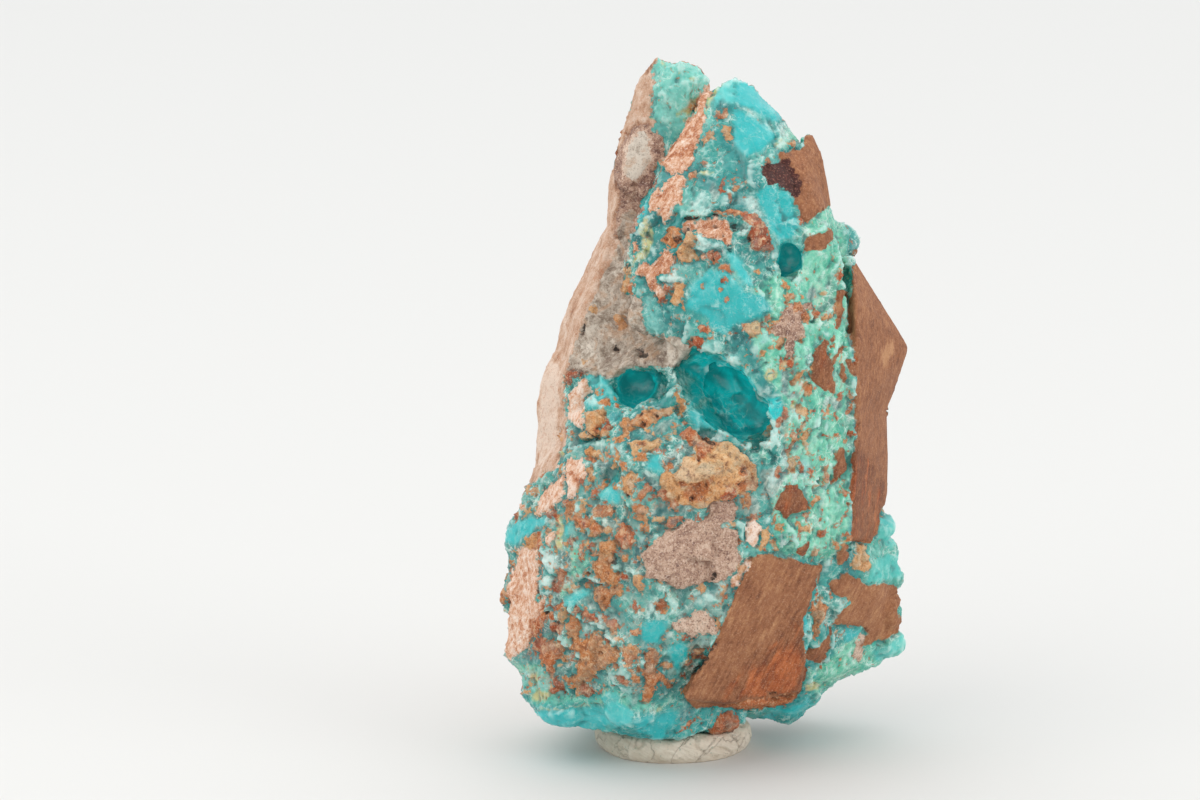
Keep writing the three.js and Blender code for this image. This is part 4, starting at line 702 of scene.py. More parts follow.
SLATE = [
    (-0.8, [(-3.9, 19.6), (-3, 20.8), (-2.2, 21.2), (-1.7, 20.9), (-2.3, 20.2), (-2.9, 19.9), (-3, 19.2),
      (-2.9, 17.6), (-3.5, 17.4), (-3.8, 18.4)]),
    (-0.4, [(-5.5, 19.6), (-4.8, 19.6), (-4.6, 19), (-4.8, 18.6), (-5.4, 18.8)]),
    (-0.9, [(-4.6, 15.9), (-4.2, 15.9), (-3.7, 15.2), (-3.8, 14.9)]),
    (0.2, [(-7, 22.6), (-5.6, 22.7), (-5, 22.4), (-5.2, 21.6), (-5.8, 21), (-6, 20.2), (-6.8, 20.6), (-6.8, 21.6)]),
    (0, [(-8.8, 21.3), (-8.2, 21.4), (-7.9, 20.6), (-8.4, 20.3), (-9, 20.5)]),
    (0.6, [(-7.2, 13.2), (-6.4, 13.4), (-5.6, 13.2), (-5, 12.6), (-5, 12), (-6, 11.6), (-7, 11.8), (-7.2, 12.4)]),
    (0.3, [(-8.4, 14.7), (-7.8, 14.9), (-7.5, 14.2), (-7.6, 13.6), (-8.2, 13.9)]),
    (-0.1, [(-11, 19.2), (-10, 19.4), (-9.6, 18.6), (-9.6, 17.6), (-10.2, 17.2), (-11.2, 17.6), (-11.6, 18),
      (-11.1, 18.3)]),
    (-0.6, [(-12.6, 12.1), (-11.6, 12.4), (-10.9, 12.8), (-10.2, 12.4), (-10.6, 10.9), (-12.4, 11.2), (-14, 9.8),
      (-14.6, 9), (-13.6, 8.6), (-12.9, 8.6), (-12.7, 9.4), (-12.2, 10.4), (-13, 11.2)]),
    (-0.3, [(-11.8, 7.2), (-10.8, 7.6), (-10.2, 7), (-11, 5.2), (-9.6, 5.2), (-11.4, 5.6)]),
    (-0.5, [(-8, 6.4), (-7.2, 7), (-7.2, 6.2), (-7.8, 5.8), (-8.4, 5.8)]),
    (-0.1, [(-4.2, 7.6), (-3.2, 7.2), (-2.9, 6.2), (-3.4, 4.2), (-4.2, 3.8), (-4, 5), (-4.2, 6.2)]),
    (0.4, [(-10.6, 10.2), (-9.2, 9.4), (-9.4, 8.4), (-10, 7.6), (-10.6, 8.2), (-10.2, 9.2)]),
    (-0.2, [(-12, 15.8), (-11, 16.2), (-10.6, 15.6), (-11, 14.4), (-11, 13), (-11.8, 12.8)]),
    (0, [(0.2, 29.8), (1.1, 30), (1.9, 29.4), (1.9, 28.7), (1.5, 28.5), (0.9, 28.7), (0, 29.3)]),
    (0, [(-1.2, 28.2), (-0.6, 28.8), (0.4, 28.8), (0.8, 28.4), (0.2, 27.4), (-0.5, 27.4), (-1, 27.6)]),
    (-0.4, [(-3.1, 26.9), (-2.4, 27), (-1.4, 25.8), (-1, 25), (-1.6, 24.8), (-2.2, 25.4), (-2.2, 25.9), (-3, 26)]),
    (0, [(-2, 24.2), (-1, 24), (0.4, 24.1), (1.4, 23.9), (2, 23.4), (1, 22.9), (-0.6, 22.9), (-1.4, 22.6), (-2, 23)]),
    (-0.8, [(-2, 23), (-1.6, 22.6), (-1, 23), (0, 23.3), (0.4, 23), (0.2, 23.4), (-1, 23.4)]),
    (-0.1, [(-2.8, 30.9), (0, 32.3), (0, 31.9), (-0.6, 31.2), (-2.4, 30.1), (-3, 30)]),
    (-0.5, [(-8.2, 28), (-6.9, 27.9), (-6.3, 28.3), (-5.9, 28.1), (-5.5, 27.6), (-6.2, 26.3), (-6.8, 25.7),
      (-7.1, 25.9), (-6.9, 26.6), (-7.2, 27.2)]),
    (-0.1, [(-9.7, 31.6), (-9.4, 31.1), (-9.1, 31.1), (-9.5, 29.2), (-9.7, 29.1), (-9.8, 30.6)]),
    (0.1, [(12.2, 43.9), (12.4, 44.5), (13, 44.9), (13.5, 44.6), (13.5, 43.9), (13.1, 43.4), (12.6, 43.4)]),
    (-0.1, [(9.9, 37), (10.5, 37), (10.9, 36.4), (10.6, 34.6), (11.4, 34.8), (11.8, 34.4), (10.8, 34.1), (10, 34.8)]),
    (0, [(14, 34), (14.4, 34.4), (16, 34), (16.1, 33.2), (15.6, 32.7), (15.1, 33), (14.9, 34), (14, 33)]),
    (-0.6, [(9.9, 21), (10.3, 21.3), (10.8, 19.9), (10.3, 19.6), (10, 20.3)]),
    (-0.5, [(11.1, 21), (11.6, 20.8), (11.4, 20.1), (11, 20.3)]),
    (0.3, [(8.2, 27.2), (9.6, 27.6), (10.5, 27), (10.2, 26), (9, 24.2), (8.4, 24.6), (8.4, 26)]),
    (0.3, [(10.3, 29.8), (10.7, 29.6), (10.8, 28), (10.7, 26.6), (10.3, 26.8), (10.2, 28.4)]),
    (0, [(11.2, 29.9), (11.8, 29.8), (12, 29.2), (11.6, 28.9), (11.1, 29.2)]),
    (0.2, [(6.1, 24.9), (7.2, 24.8), (8, 24.2), (8.2, 23), (7, 22.8), (6.3, 22.9)]),
    (0.3, [(5.3, 13.6), (5.5, 14.4), (5.2, 14.4), (4.9, 13.8), (4.2, 13)]),
    (-0.3, [(0.6, 4.8), (1, 5), (2.2, 4), (2.3, 3.4), (1.4, 2.7), (0.4, 2.2), (1, 4)]),
    (0.2, [(5.9, 50.4), (6.2, 50.9), (6.8, 50.8), (7, 50.2), (6.6, 49.6), (6.1, 49.6)]),
    (0, [(3.4, 54.4), (3.8, 54.8), (4.3, 54), (4.2, 53.2), (3.4, 52.9), (3.3, 53.6)]),
    (-0.6, [(4.4, 46.8), (5.1, 47.2), (5.5, 46.2), (5.2, 45.8), (4.6, 46)]),
    (-0.7, [(0.3, 13.4), (1, 13.5), (1.2, 13.1), (0.4, 12.9)]),
    (-0.6, [(-1.8, 14), (-1.4, 14.3), (-1, 13.9), (-1.6, 13.4)]),
    (0.1, [(1.4, 10.2), (2.2, 11), (3.2, 10.9), (3.9, 10.6), (2.4, 9.4), (1.6, 9)]),
    (0.3, [(15.2, 12.4), (15.8, 13.6), (16.6, 14), (16.8, 13), (16.4, 12.4)]),
    (0.2, [(14.2, 13.9), (14.8, 14.6), (15, 13.4), (14.6, 12.2), (14.2, 12.4)]),
]
print("green and slaty patches:", len(MINT), len(SLATE))

# %% Yellow stains, and the whole map
YELLOW = [
    (0, [(0.6, 61.2), (1.4, 62.3), (2.3, 63.1), (3, 63.4), (3.4, 64), (4.6, 64.2), (3.4, 62.2), (2.8, 60.6),
      (2.9, 61.8), (2.7, 63), (1.9, 61.6), (1.2, 60.9)]),
    (0.8, [(-2.9, 51.4), (-2.4, 51.6), (-2.1, 48.4), (-2.6, 47.8), (-4, 46.6), (-4.2, 46), (-4, 47.2), (-3, 48.8),
      (-3.2, 49.8)]),
    (0, [(-0.8, 64.4)], 0.25), (0, [(1.5, 64.4)], 0.25), (0.2, [(0.3, 64.9)], 0.15), (0, [(0.4, 61)], 0.25),
    (0, [(0.9, 60.6)], 0.2), (-0.3, [(-2.4, 60.6)], 0.3), (0.1, [(-1.2, 66)], 0.25),
    (0.2, [(9.2, 58.3), (9.9, 58.9), (10.1, 58.6), (9.4, 58.1)]),
    (-0.6, [(-14, 5.1), (-13.2, 5.8), (-12, 5.6), (-11.6, 5.4), (-12.4, 4.6), (-13, 4.5)]),
    (-0.6, [(-13.9, 7.2), (-13.2, 7.4), (-12.8, 6.8), (-13.1, 6.2), (-13.6, 6.3)]),
    (0, [(-13.2, 3.9), (-12, 3.7), (-11, 3.9), (-9, 4), (-7.9, 3.9), (-8, 4.15), (-9.4, 4.2)]),
    (0.1, [(8.6, 36), (8.5, 36.6), (8.8, 37.1), (9.5, 37.2), (9.8, 36.8), (9.7, 36.1), (9.2, 35.8)]),
    (0.5, [(11.2, 33.6)], 0.4),
    (-0.3, [(-1.6, 4.2), (-0.8, 4.1), (-1.2, 3.6), (-1.9, 3.8)]),
    (-0.2, [(-7, 5.2), (-6.6, 5.8), (-6, 5.9), (-6.6, 5.4), (-6.9, 4.4)]),
    (-0.2, [(-2.8, 3.6)], 0.2),
    (0.8, [(-11.6, 22.6), (-10.6, 22.9), (-10.4, 21.6), (-10.8, 20.6), (-11.4, 20.9), (-11.3, 21.8)]),
    (0, [(-11.6, 20.4), (-10.8, 20.5), (-10.2, 19.9), (-10.4, 19.4), (-11.2, 19.4)]),
    (0.6, [(2.1, 56.1), (2.7, 56.1), (3.6, 55.8), (3, 55.2), (2.2, 55.8)]),
    (0.5, [(-10.8, 32), (-10.2, 32.2), (-10.4, 28.6), (-10.9, 28.4), (-10.7, 30)]),
    (0.4, [(12.6, 6.3), (14.2, 6.2), (14.6, 5.8), (13.4, 5.5), (12.6, 5.7)]),
]
MAP = {"brown": BROWN, "ochre": OCHRE, "peach": PEACH, "grey": GREY, "pink": PINK, "tan": TAN, "maroon": MAROON,
       "crack_and_shadow": CRACKS_AND_SHADOW_LINES, "teal": TEAL, "frost": FROST, "mint": MINT, "slate": SLATE, "yellow": YELLOW}
print("patches in all:", sum(len(patches) for patches in MAP.values()))

# %% [markdown]
# ## From outlines to distances
#
# Every point of the skin gets, for each kind of rock, its distance in millimetres inside the nearest
# outline of that kind, less than nothing where it lies outside. A distance is better than a mask, because
# the material can cut it as sharply as it likes. Noise pushes the points about first, so that no edge
# runs straight.

# %% Points of the skin
def field(mesh, name, width=3):
    """One number or vector for each point of a mesh, as an array."""
    values = np.empty(len(mesh.vertices) * width)
    mesh.vertices.foreach_get(name, values)
    return values.reshape(-1, width)


def smooth_noise(points, size, offset=0.0):
    """Soft noise from about -1 to 1, with features of a given size in mm."""
    shift = Vector((offset, 2.3 * offset, -offset))
    return np.array([noise.noise(Vector(p) / size + shift) for p in points])


def cells(points, size, offset=0.0):
    """Cell noise: how far a point is from its cell's border in mm, a random number for its cell, and how high the
    point lies on a facet that is tilted at random, in mm for a tilt of 45 degrees."""
    shift = Vector((offset, -offset, 1.7 * offset))
    border, pick, facet = (np.empty(len(points)) for _ in range(3))
    half = Vector((0.5, 0.5, 0.5))
    for i, p in enumerate(points):
        place = Vector(p) / size + shift
        (near, far, _, _), (seed, *_) = noise.voronoi(place)
        border[i] = 0.5 * (far - near) * size
        pick[i] = 0.5 + 0.5 * noise.cell(seed * 7.31)
        facet[i] = (place - seed).dot(noise.cell_vector(seed * 3.7) - half) * 2 * size
    return border, pick, facet


def crags(points, size, offset=0.0):
    """Ridged noise from about -1 to 1: sharp crests with hollows between them."""
    shift = Vector((offset, 2.3 * offset, -offset))
    return np.array([noise.ridged_multi_fractal(Vector(p) / size + shift, 0.9, 2.1, 4, 1, 2) for p in points]) - 1


points = field(stone.data, "co") / MM
probe = smooth_noise(points[:2000], 2.0)
print("noise runs from", round(probe.min(), 2), "to", round(probe.max(), 2))

# %% Where each point shows from the front
EYE = np.array(eye) / MM


def shown_at(points):
    """Across and up, on the upright plane through the origin, for points in mm."""
    reach = EYE[1] / (EYE[1] - points[:, 1])
    return EYE[[0, 2]] + (points[:, [0, 2]] - EYE[[0, 2]]) * reach[:, None]


def inside(flat, patch):
    """Distance in mm inside a patch's outline, negative outside it."""
    corners = np.array(patch[1], float)
    if len(corners) == 1:
        return patch[2] - np.hypot(*(flat - corners[0]).T)
    best = np.full(len(flat), 1e9)
    odd = np.zeros(len(flat), bool)
    for a, b in zip(corners, np.roll(corners, -1, axis=0)):
        edge = b - a
        along = np.clip(((flat - a) @ edge) / (edge @ edge), 0, 1)
        best = np.minimum(best, np.hypot(*(flat - a - along[:, None] * edge).T))
        crosses = (a[1] > flat[:, 1]) != (b[1] > flat[:, 1])
        slope = edge[0] / edge[1] if edge[1] else 0
        odd ^= crosses & (flat[:, 0] < a[0] + (flat[:, 1] - a[1]) * slope)
    return np.where(odd, best, -best)


def ramp(values, low, high):
    """0 below low, 1 above high, and smooth between."""
    t = np.clip((values - low) / (high - low), 0, 1)
    return t * t * (3 - 2 * t)


NEAR = 1.5
flat = shown_at(points)
print("skin shows from", flat.min(0).round(1), "to", flat.max(0).round(1))

# %% Distances for every kind
def distances(flat, patches):
    """For one kind of rock: how far inside its patches each point lies, and the tone of the patch it is in
    or near."""
    depth, second = np.full((2, len(flat)), -NEAR)
    tone = np.zeros(len(flat))
    covered = np.zeros(len(flat), bool)
    for patch in patches:
        corners = np.array(patch[1], float)
        margin = NEAR + (patch[2] if len(corners) == 1 else 0)
        where = np.flatnonzero(np.all((flat > corners.min(0) - margin) & (flat < corners.max(0) + margin), axis=1))
        found = inside(flat[where], patch)
        nearer = found > depth[where]
        second[where] = np.maximum(second[where], np.where(nearer, depth[where], found))
        depth[where[nearer]] = found[nearer]
        retone = (nearer & ~covered[where]) | (found > 0)
        tone[where[retone]] = patch[0]
        covered[where[found > 0]] = True
    touching = np.clip(1.8 * (second + 0.12), 0, 0.4)  # patches of one kind that touch run together
    return np.clip(depth + touching, -NEAR, NEAR), tone


def mapped(points):
    """The distance and the tone of every kind of rock, for points in mm, as the front shows them."""
    push = [0.25 * smooth_noise(points, 1.3, s) + 0.2 * smooth_noise(points, 0.55, s + 9) for s in (3, 6)]
    flat = shown_at(points) + np.stack(push, 1)
    return {kind: distances(flat, patches) for kind, patches in MAP.items()}


rock_map = mapped(points)
print({kind: int((depth > 0).sum()) for kind, (depth, _) in rock_map.items()})

# %% [markdown]
# ## The sides and the back
#
# Nothing is known of the far side, so it is dressed as the matrix of such a stone usually is: brown and tan
# rock in blocks a few millimetres across, with thin veins of hemimorphite between them, and a knobbly
# crust again where the right flank turns towards the foot. The same distances are used, made from noise
# in space this time, and the two maps are blended by how much a point faces the front.

# %% Rock of the far side
def far_side(points):
    """Distances and tones like those of the map, but from noise in space."""
    x, _, z = points.T
    swirl = np.stack([smooth_noise(points, 5, s) for s in (1, 2, 3)], 1)
    border, pick, _ = cells(points + 1.6 * swirl, 6.5, 4)
    flank = 0.22 * (x - 13.5) + 0.16 * (22 - z) + 0.9 * smooth_noise(points, 3, 5)
    under = 0.5 * (7 - z) + 0.9 * smooth_noise(points, 3, 6)
    vein = 0.32 - border + 0.5 * smooth_noise(points, 2.5, 7)
    crust = np.clip(np.maximum.reduce([np.minimum(flank, 0.5 * (x - 9)), under, vein]), -NEAR, NEAR)
    tone = 0.9 * smooth_noise(points, 4, 8) - 0.5
    kinds = {"brown": pick < 0.3, "tan": (pick >= 0.3) & (pick < 0.6), "grey": pick >= 0.6}
    result = {kind: (np.full(len(points), -NEAR), tone) for kind in MAP}
    for kind, here in kinds.items():
        own = tone + 0.45 if kind == "brown" else tone
        result[kind] = (np.clip(np.minimum(np.where(here, border, -border), -crust), -NEAR, NEAR), own)
    chip_border, chip_pick, _ = cells(points + 0.5 * swirl, 1.7, 12)
    few = 0.14  # the share of the cells that are chips
    chip = np.where(chip_pick < few, chip_border, -4 * chip_border) - 0.1
    result["ochre"] = (np.clip(chip, -NEAR, NEAR), np.where(chip_pick < few, 1.2 * chip_pick / few - 0.6, tone))
    result["mint"] = (np.clip(1.2 * smooth_noise(points, 4, 14), -NEAR, NEAR), np.zeros(len(points)))
    result["frost"] = (np.clip(1.2 * smooth_noise(points, 2, 15) - 0.3, -NEAR, NEAR), np.full(len(points), 0.4))
    return result


sample = far_side(points[:4000])
print("kinds of rock on the far side:", [kind for kind, (depth, _) in sample.items() if depth.max() > 0])

# %% Which points face the front
def facing_front(points, normals):
    """1 where a point faces the eye, 0 where it faces away, and soft between."""
    toward = EYE - points
    toward /= np.linalg.norm(toward, axis=1)[:, None]
    return ramp((normals * toward).sum(1), -0.45, -0.1)


def normals_of(mesh):
    values = np.empty(len(mesh.vertices) * 3)
    mesh.vertex_normals.foreach_get("vector", values)
    return values.reshape(-1, 3)


front = facing_front(points, normals_of(stone.data))
print("share of the skin that faces the front:", round(front.mean(), 2))

# %% [markdown]
# ## Where the crust is knobbly, sugary or strewn with chips
#
# Hemimorphite grows in round heads where it had room, as on the right flank, and its broken surface is sugary
# or glassy. Small chips of clay-stone are caught in it, thickly in the lower front and hardly at all near
# the top. These three shares, from 0 to 1, steer the relief and the paint alike, so they always agree.

# %% Shares of the crust
def knobs(points):
    """1 where the crust grew in round heads: down the right flank, under the foot and at the summit."""
    u, w = shown_at(points).T
    flank = ramp(u, 17, 19) * (1 - ramp(w, 21, 24))
    foot = 1 - ramp(w, 4.2, 6)
    summit = ramp(w, 59, 61) * (1 - ramp(u, 2.5, 4))
    return np.maximum.reduce([flank, foot, 0.5 * summit])


def sugary(points):
    """1 where the crust is covered with fine crystals, 0 where it is glassy, as it is near the top."""
    return ramp(smooth_noise(points, 3.2, 37), -0.2, 0.4) * (1 - 0.75 * ramp(shown_at(points)[:, 1], 50, 57))


def strewn_thickly(points):
    """How thickly small chips of clay-stone are strewn in the crust, from 0 to 1, as the front shows them."""
    u, w = shown_at(points).T
    lower = (1 - ramp(w, 28, 33)) * ramp(w, 3, 7) * (1 - ramp(u, 5, 9))
    right = ramp(u, 7, 11) * ramp(w, 18, 22) * (1 - ramp(w, 44, 52))
    middle = ramp(w, 36, 40) * (1 - ramp(w, 46, 50)) * ramp(u, -2, 2) * (1 - ramp(u, 7, 9))
    thick = 0.42 * lower + 0.2 * right + 0.1 * middle + 0.4 * smooth_noise(points, 3, 31)
    return np.clip(thick, 0, 1) * (1 - 0.8 * knobs(points)) * (1 - ramp(w, 50, 54))


print("knobbly", round(knobs(points).mean(), 2), "sugary", round(sugary(points).mean(), 2))

# %% Small chips and closed seams
def strew(points, kinds, size, share, offset):
    """Adds small chips of clay-stone to the crust, each a cell of noise, where they are strewn thickly."""
    border, pick, _ = cells(points + 0.25 * size * smooth_noise(points, 0.6 * size, offset)[:, None], size, offset)
    chosen = pick < share * strewn_thickly(points)
    ragged = 0.12 * size * smooth_noise(points, 0.4 * size, offset) - 0.06 * size
    chip = np.where(chosen, border, -4 * border) + ragged
    depth, tone = kinds["ochre"]
    other = np.maximum.reduce([kinds[kind][0] for kind in ("brown", "pink", "peach", "grey", "tan", "teal")])
    chip = np.clip(np.minimum(chip, -other), -NEAR, NEAR)
    own = np.mod(pick * 37, 1) * 1.1 - 0.5
    kinds["ochre"] = np.maximum(depth, chip), np.where(chip > depth, own, tone)


def close_seams(kinds):
    """Lets the lower of two neighbouring rocks run on under the other, so that no crust shows between them."""
    for under, over in (("tan", "pink"), ("tan", "grey"), ("pink", "grey"), ("brown", "maroon")):
        depth, tone = kinds[under]
        kinds[under] = np.maximum(depth, np.minimum(depth, kinds[over][0]) + 0.6), tone


def blended(points, normals):
    """The front's map and the far side's, each where it belongs, with small chips strewn over both."""
    share = facing_front(points, normals)
    near, far = mapped(points), far_side(points)
    kinds = {kind: tuple(share * n + (1 - share) * f for n, f in zip(near[kind], far[kind])) for kind in MAP}
    close_seams(kinds)
    for size, thickness, offset in ((1.5, 0.22, 51), (0.85, 0.45, 52)):
        strew(points, kinds, size, thickness, offset)
    return kinds


print("maps of the front and the far side can be blended")

# %% Round the broken faces, keep the clean ones flat
def smooth(skin, verts, times):
    """Moves points halfway to the middle of their neighbours, so many times."""
    for _ in range(times):
        bmesh.ops.smooth_vert(skin, verts=verts, factor=0.5, use_axis_x=True, use_axis_y=True, use_axis_z=True)


skin = bmesh.new()
skin.from_mesh(stone.data)
skin.verts.ensure_lookup_table()
rough = [v for v, depth in zip(skin.verts, rock_map["brown"][0]) if depth < 0.1]
smooth(skin, skin.verts, 1)
smooth(skin, rough, 3)
skin.to_mesh(stone.data)
skin.free()
print("smoothed", len(rough), "points of broken rock")

# %% [markdown]
# ## Relief
#
# Hemimorphite grows in little rounded heads, so its relief is cell noise with each cell domed. Clay-stone
# chips stand a little proud, pitted, each in a narrow moat. The peach and tan rock is splintery, the grey
# rock is lumpy, and the brown rock breaks flat. All heights are in millimetres.

# %% Heads and splinters
def domes(points, size, offset):
    """Rounded heads, from 0 in the seams to 1 on top."""
    return np.sqrt(np.clip(cells(points, size, offset)[0] / (0.45 * size), 0, 1))


def splinters(points, along, size, stretch, offset):
    """Noise drawn out along a direction, as splintery rock is."""
    along = np.array(along, float) / np.linalg.norm(along)
    squeezed = points - (1 - 1 / stretch) * (points @ along)[:, None] * along
    return smooth_noise(squeezed, size, offset)


print("domes reach", round(domes(points[:2000], 1.7, 23).max(), 2), "of their full height")

# %% Height of every point
LOWEST, HIGHEST = -0.9, 0.6


def relief(points, kinds):
    """How far each point of the skin is moved out along its normal, in mm."""
    depth = {kind: values[0] for kind, values in kinds.items()}
    tone = {kind: values[1] for kind, values in kinds.items()}
    grain = smooth_noise(points, 0.55, 21)
    swell = smooth_noise(points, 2.2, 22)
    blocky = cells(points, 3.6, 33)[2]
    hackly = cells(points + 0.2 * grain[:, None], 1.25, 34)[2]
    sugar = cells(points, 0.6, 35)[2]
    coarse = 0.25 + 0.75 * sugary(points)
    glassy = ramp(depth["teal"], -0.2, 0.3) * ramp(tone["teal"], 0.1, 0.4)
    coarse *= (1 - 0.7 * ramp(depth["teal"], -0.1, 0.4)) * (1 - 0.9 * glassy)
    crystals = 0.24 * hackly + 0.28 * sugar + 0.2 * crags(points, 2.8, 36)
    broken = 0.17 * (1 - 0.7 * glassy) * blocky + coarse * crystals + 0.05 * grain
    rounded = 0.3 * (domes(points + 0.3 * grain[:, None], 1.7, 23) - 0.6) + 0.14 * (domes(points, 0.8, 24) - 0.6)
    knobbly = knobs(points)
    height = knobbly * rounded + (1 - knobbly) * broken + 0.16 * swell
    sunk = ramp(depth["teal"], -0.3, 0.9)
    height -= sunk * np.where(tone["teal"] < -0.2, 0.5, 0)

    def lay(kind, shape, edge=0.12):
        nonlocal height
        share = ramp(depth[kind], -edge, edge)
        height = (1 - share) * height + share * shape

    lay("tan", 0.1 * splinters(points, (0.25, 0.3, 1), 1.3, 2.5, 25) + 0.1 * swell + 0.08 * hackly + 0.04 * grain)
    lay("grey", 0.2 * smooth_noise(points, 1.4, 26) + 0.1 * swell + 0.1 * hackly + 0.06 * grain)
    lay("brown", 0.1 + 0.035 * smooth_noise(points, 2.8, 27) + 0.015 * grain, 0.08)
    lay("peach", 0.08 + 0.13 * splinters(points, (1, 0.2, 1.3), 0.8, 3, 28) + 0.05 * grain)
    lay("pink", 0.04 + 0.06 * grain + 0.08 * swell + 0.12 * blocky)
    pits = ramp(smooth_noise(points, 0.5, 29), 0.25, 0.5)
    crown = 0.05 + 0.2 * ramp(depth["ochre"], 0, 0.4)
    lay("ochre", crown - 0.25 * pits + 0.1 * grain + 0.25 * hackly + 0.2 * sugar + 0.1 * swell, 0.08)
    lay("maroon", -0.15 + 0.3 * sugar)
    for kind in ("ochre", "brown", "pink", "peach"):
        height -= 0.14 * (1 - ramp(np.abs(depth[kind] + 0.05), 0.02, 0.2))
    return np.clip(height - 0.45 * ramp(depth["crack_and_shadow"], -0.15, 0.1), LOWEST, HIGHEST)


print("the relief stays between", LOWEST, "and", HIGHEST, "mm")

# %% Move the points
points = field(stone.data, "co") / MM
normals = normals_of(stone.data)
kinds = blended(points, normals)
height = relief(points, kinds)
stone.data.vertices.foreach_set("co", ((points + height[:, None] * normals) * MM).ravel())
stone.data.update()
print("relief from", round(height.min(), 2), "to", round(height.max(), 2), "mm")

# %% [markdown]
# ## Keep the map on the skin
#
# The distances go onto the mesh as vector attributes, three kinds to a vector, so the material can read
# them. So do the tones, and how far each point stands out from its neighbours, which tells crests from
# dips. A decimate then takes away the points that the flat faces don't need.

# %% Attributes
PACKED = {
    "rock_a": ("brown", "ochre", "peach"),
    "rock_b": ("grey", "pink", "tan"),
    "rock_c": ("maroon", "crack_and_shadow", "yellow"),
    "crust": ("teal", "mint", "frost"),
}
ROCK_ORDER = ("tan", "pink", "grey", "brown", "peach", "ochre", "maroon", "crack_and_shadow")  # later ones lie on top
CRUST_ORDER = ("frost", "teal")
print("kinds packed:", sum(len(group) for group in PACKED.values()))


# %% Tone
def top_tone(kinds, order):
    """The tone of whichever kind lies on top at each point."""
    tone = np.zeros(len(kinds[order[0]][0]))
    for kind in order:
        depth, own = kinds[kind]
        tone = np.where(depth > -0.2, own, tone)
    return tone


rock_tones, crust_tones = top_tone(kinds, ROCK_ORDER), top_tone(kinds, CRUST_ORDER)
print("mean tone of the rock:", round(rock_tones.mean(), 2))

# %% Crests and dips
STEPS_AROUND = 5


def convexity(mesh):
    """How far each point stands out from its neighbours, as a share of the usual: above 0 on crests and
    below 0 in dips."""
    ends = np.empty(len(mesh.edges) * 2, int)
    mesh.edges.foreach_get("vertices", ends)
    a, b = ends.reshape(-1, 2).T
    count = np.bincount(ends, minlength=len(mesh.vertices))

    def around(values):
        total = np.zeros_like(values)
        np.add.at(total, a, values[b])
        np.add.at(total, b, values[a])
        return total / count.reshape(-1, *[1] * (values.ndim - 1))

    places = level = field(mesh, "co")
    for _ in range(STEPS_AROUND):
        level = around(level)
    outward = ((places - level) * normals_of(mesh)).sum(1)
    outward = 0.5 * (outward + around(outward))
    return np.clip(outward / outward.std(), -3, 3)


standing_out = convexity(stone.data)
print("points on sharp crests:", int((standing_out > 2).sum()))

# %% Keep them
def keep(mesh, name, columns):
    """Keeps up to three values for each point as one vector attribute."""
    vectors = np.zeros((len(mesh.vertices), 3), np.float32)
    vectors[:, : len(columns)] = np.stack(columns, 1)
    mesh.attributes.new(name, "FLOAT_VECTOR", "POINT").data.foreach_set("vector", vectors.ravel())


for name, group in PACKED.items():
    keep(stone.data, name, [kinds[kind][0] for kind in group])
keep(stone.data, "tones", [rock_tones, crust_tones, kinds["slate"][1]])
keep(stone.data, "veins", [kinds["slate"][0], strewn_thickly(points)])
keep(stone.data, "shape", [standing_out, knobs(points), sugary(points)])
print("attributes:", [a.name for a in stone.data.attributes if a.data_type == "FLOAT_VECTOR"])

# %% Thin out the flat parts
MOST_TRIANGLES = 190_000


def triangles_in(mesh):
    return sum(len(face.vertices) - 2 for face in mesh.polygons)


before = triangles_in(stone.data)
if before > MOST_TRIANGLES:
    stone.modifiers.new("thin", "DECIMATE").ratio = MOST_TRIANGLES / before
    apply_modifiers(stone)
print("triangles before and after:", before, triangles_in(stone.data))

# %% Take away crumbs
def without_crumbs(mesh):
    """Deletes every loose part of a mesh but the largest, such as a speck that thinning leaves behind."""
    whole = bmesh.new()
    whole.from_mesh(mesh)
    unseen, parts = set(whole.verts), []
    while unseen:
        part, front = set(), {unseen.pop()}
        while front:
            part |= front
            front = {edge.other_vert(vert) for vert in front for edge in vert.link_edges} - part
        unseen -= part
        parts.append(part)
    parts.sort(key=len)
    bmesh.ops.delete(whole, geom=[vert for part in parts[:-1] for vert in part], context="VERTS")
    whole.to_mesh(mesh)
    whole.free()
    return len(parts) - 1


print("crumbs taken away:", without_crumbs(stone.data))
stone.data.shade_smooth()

# %% [markdown]
# ## A way to write materials
#
# Shader graphs are easier to read as sums than as lists of sockets. This small class adds a node to a tree,
# feeds it values or other nodes' outputs, and gives back its output.

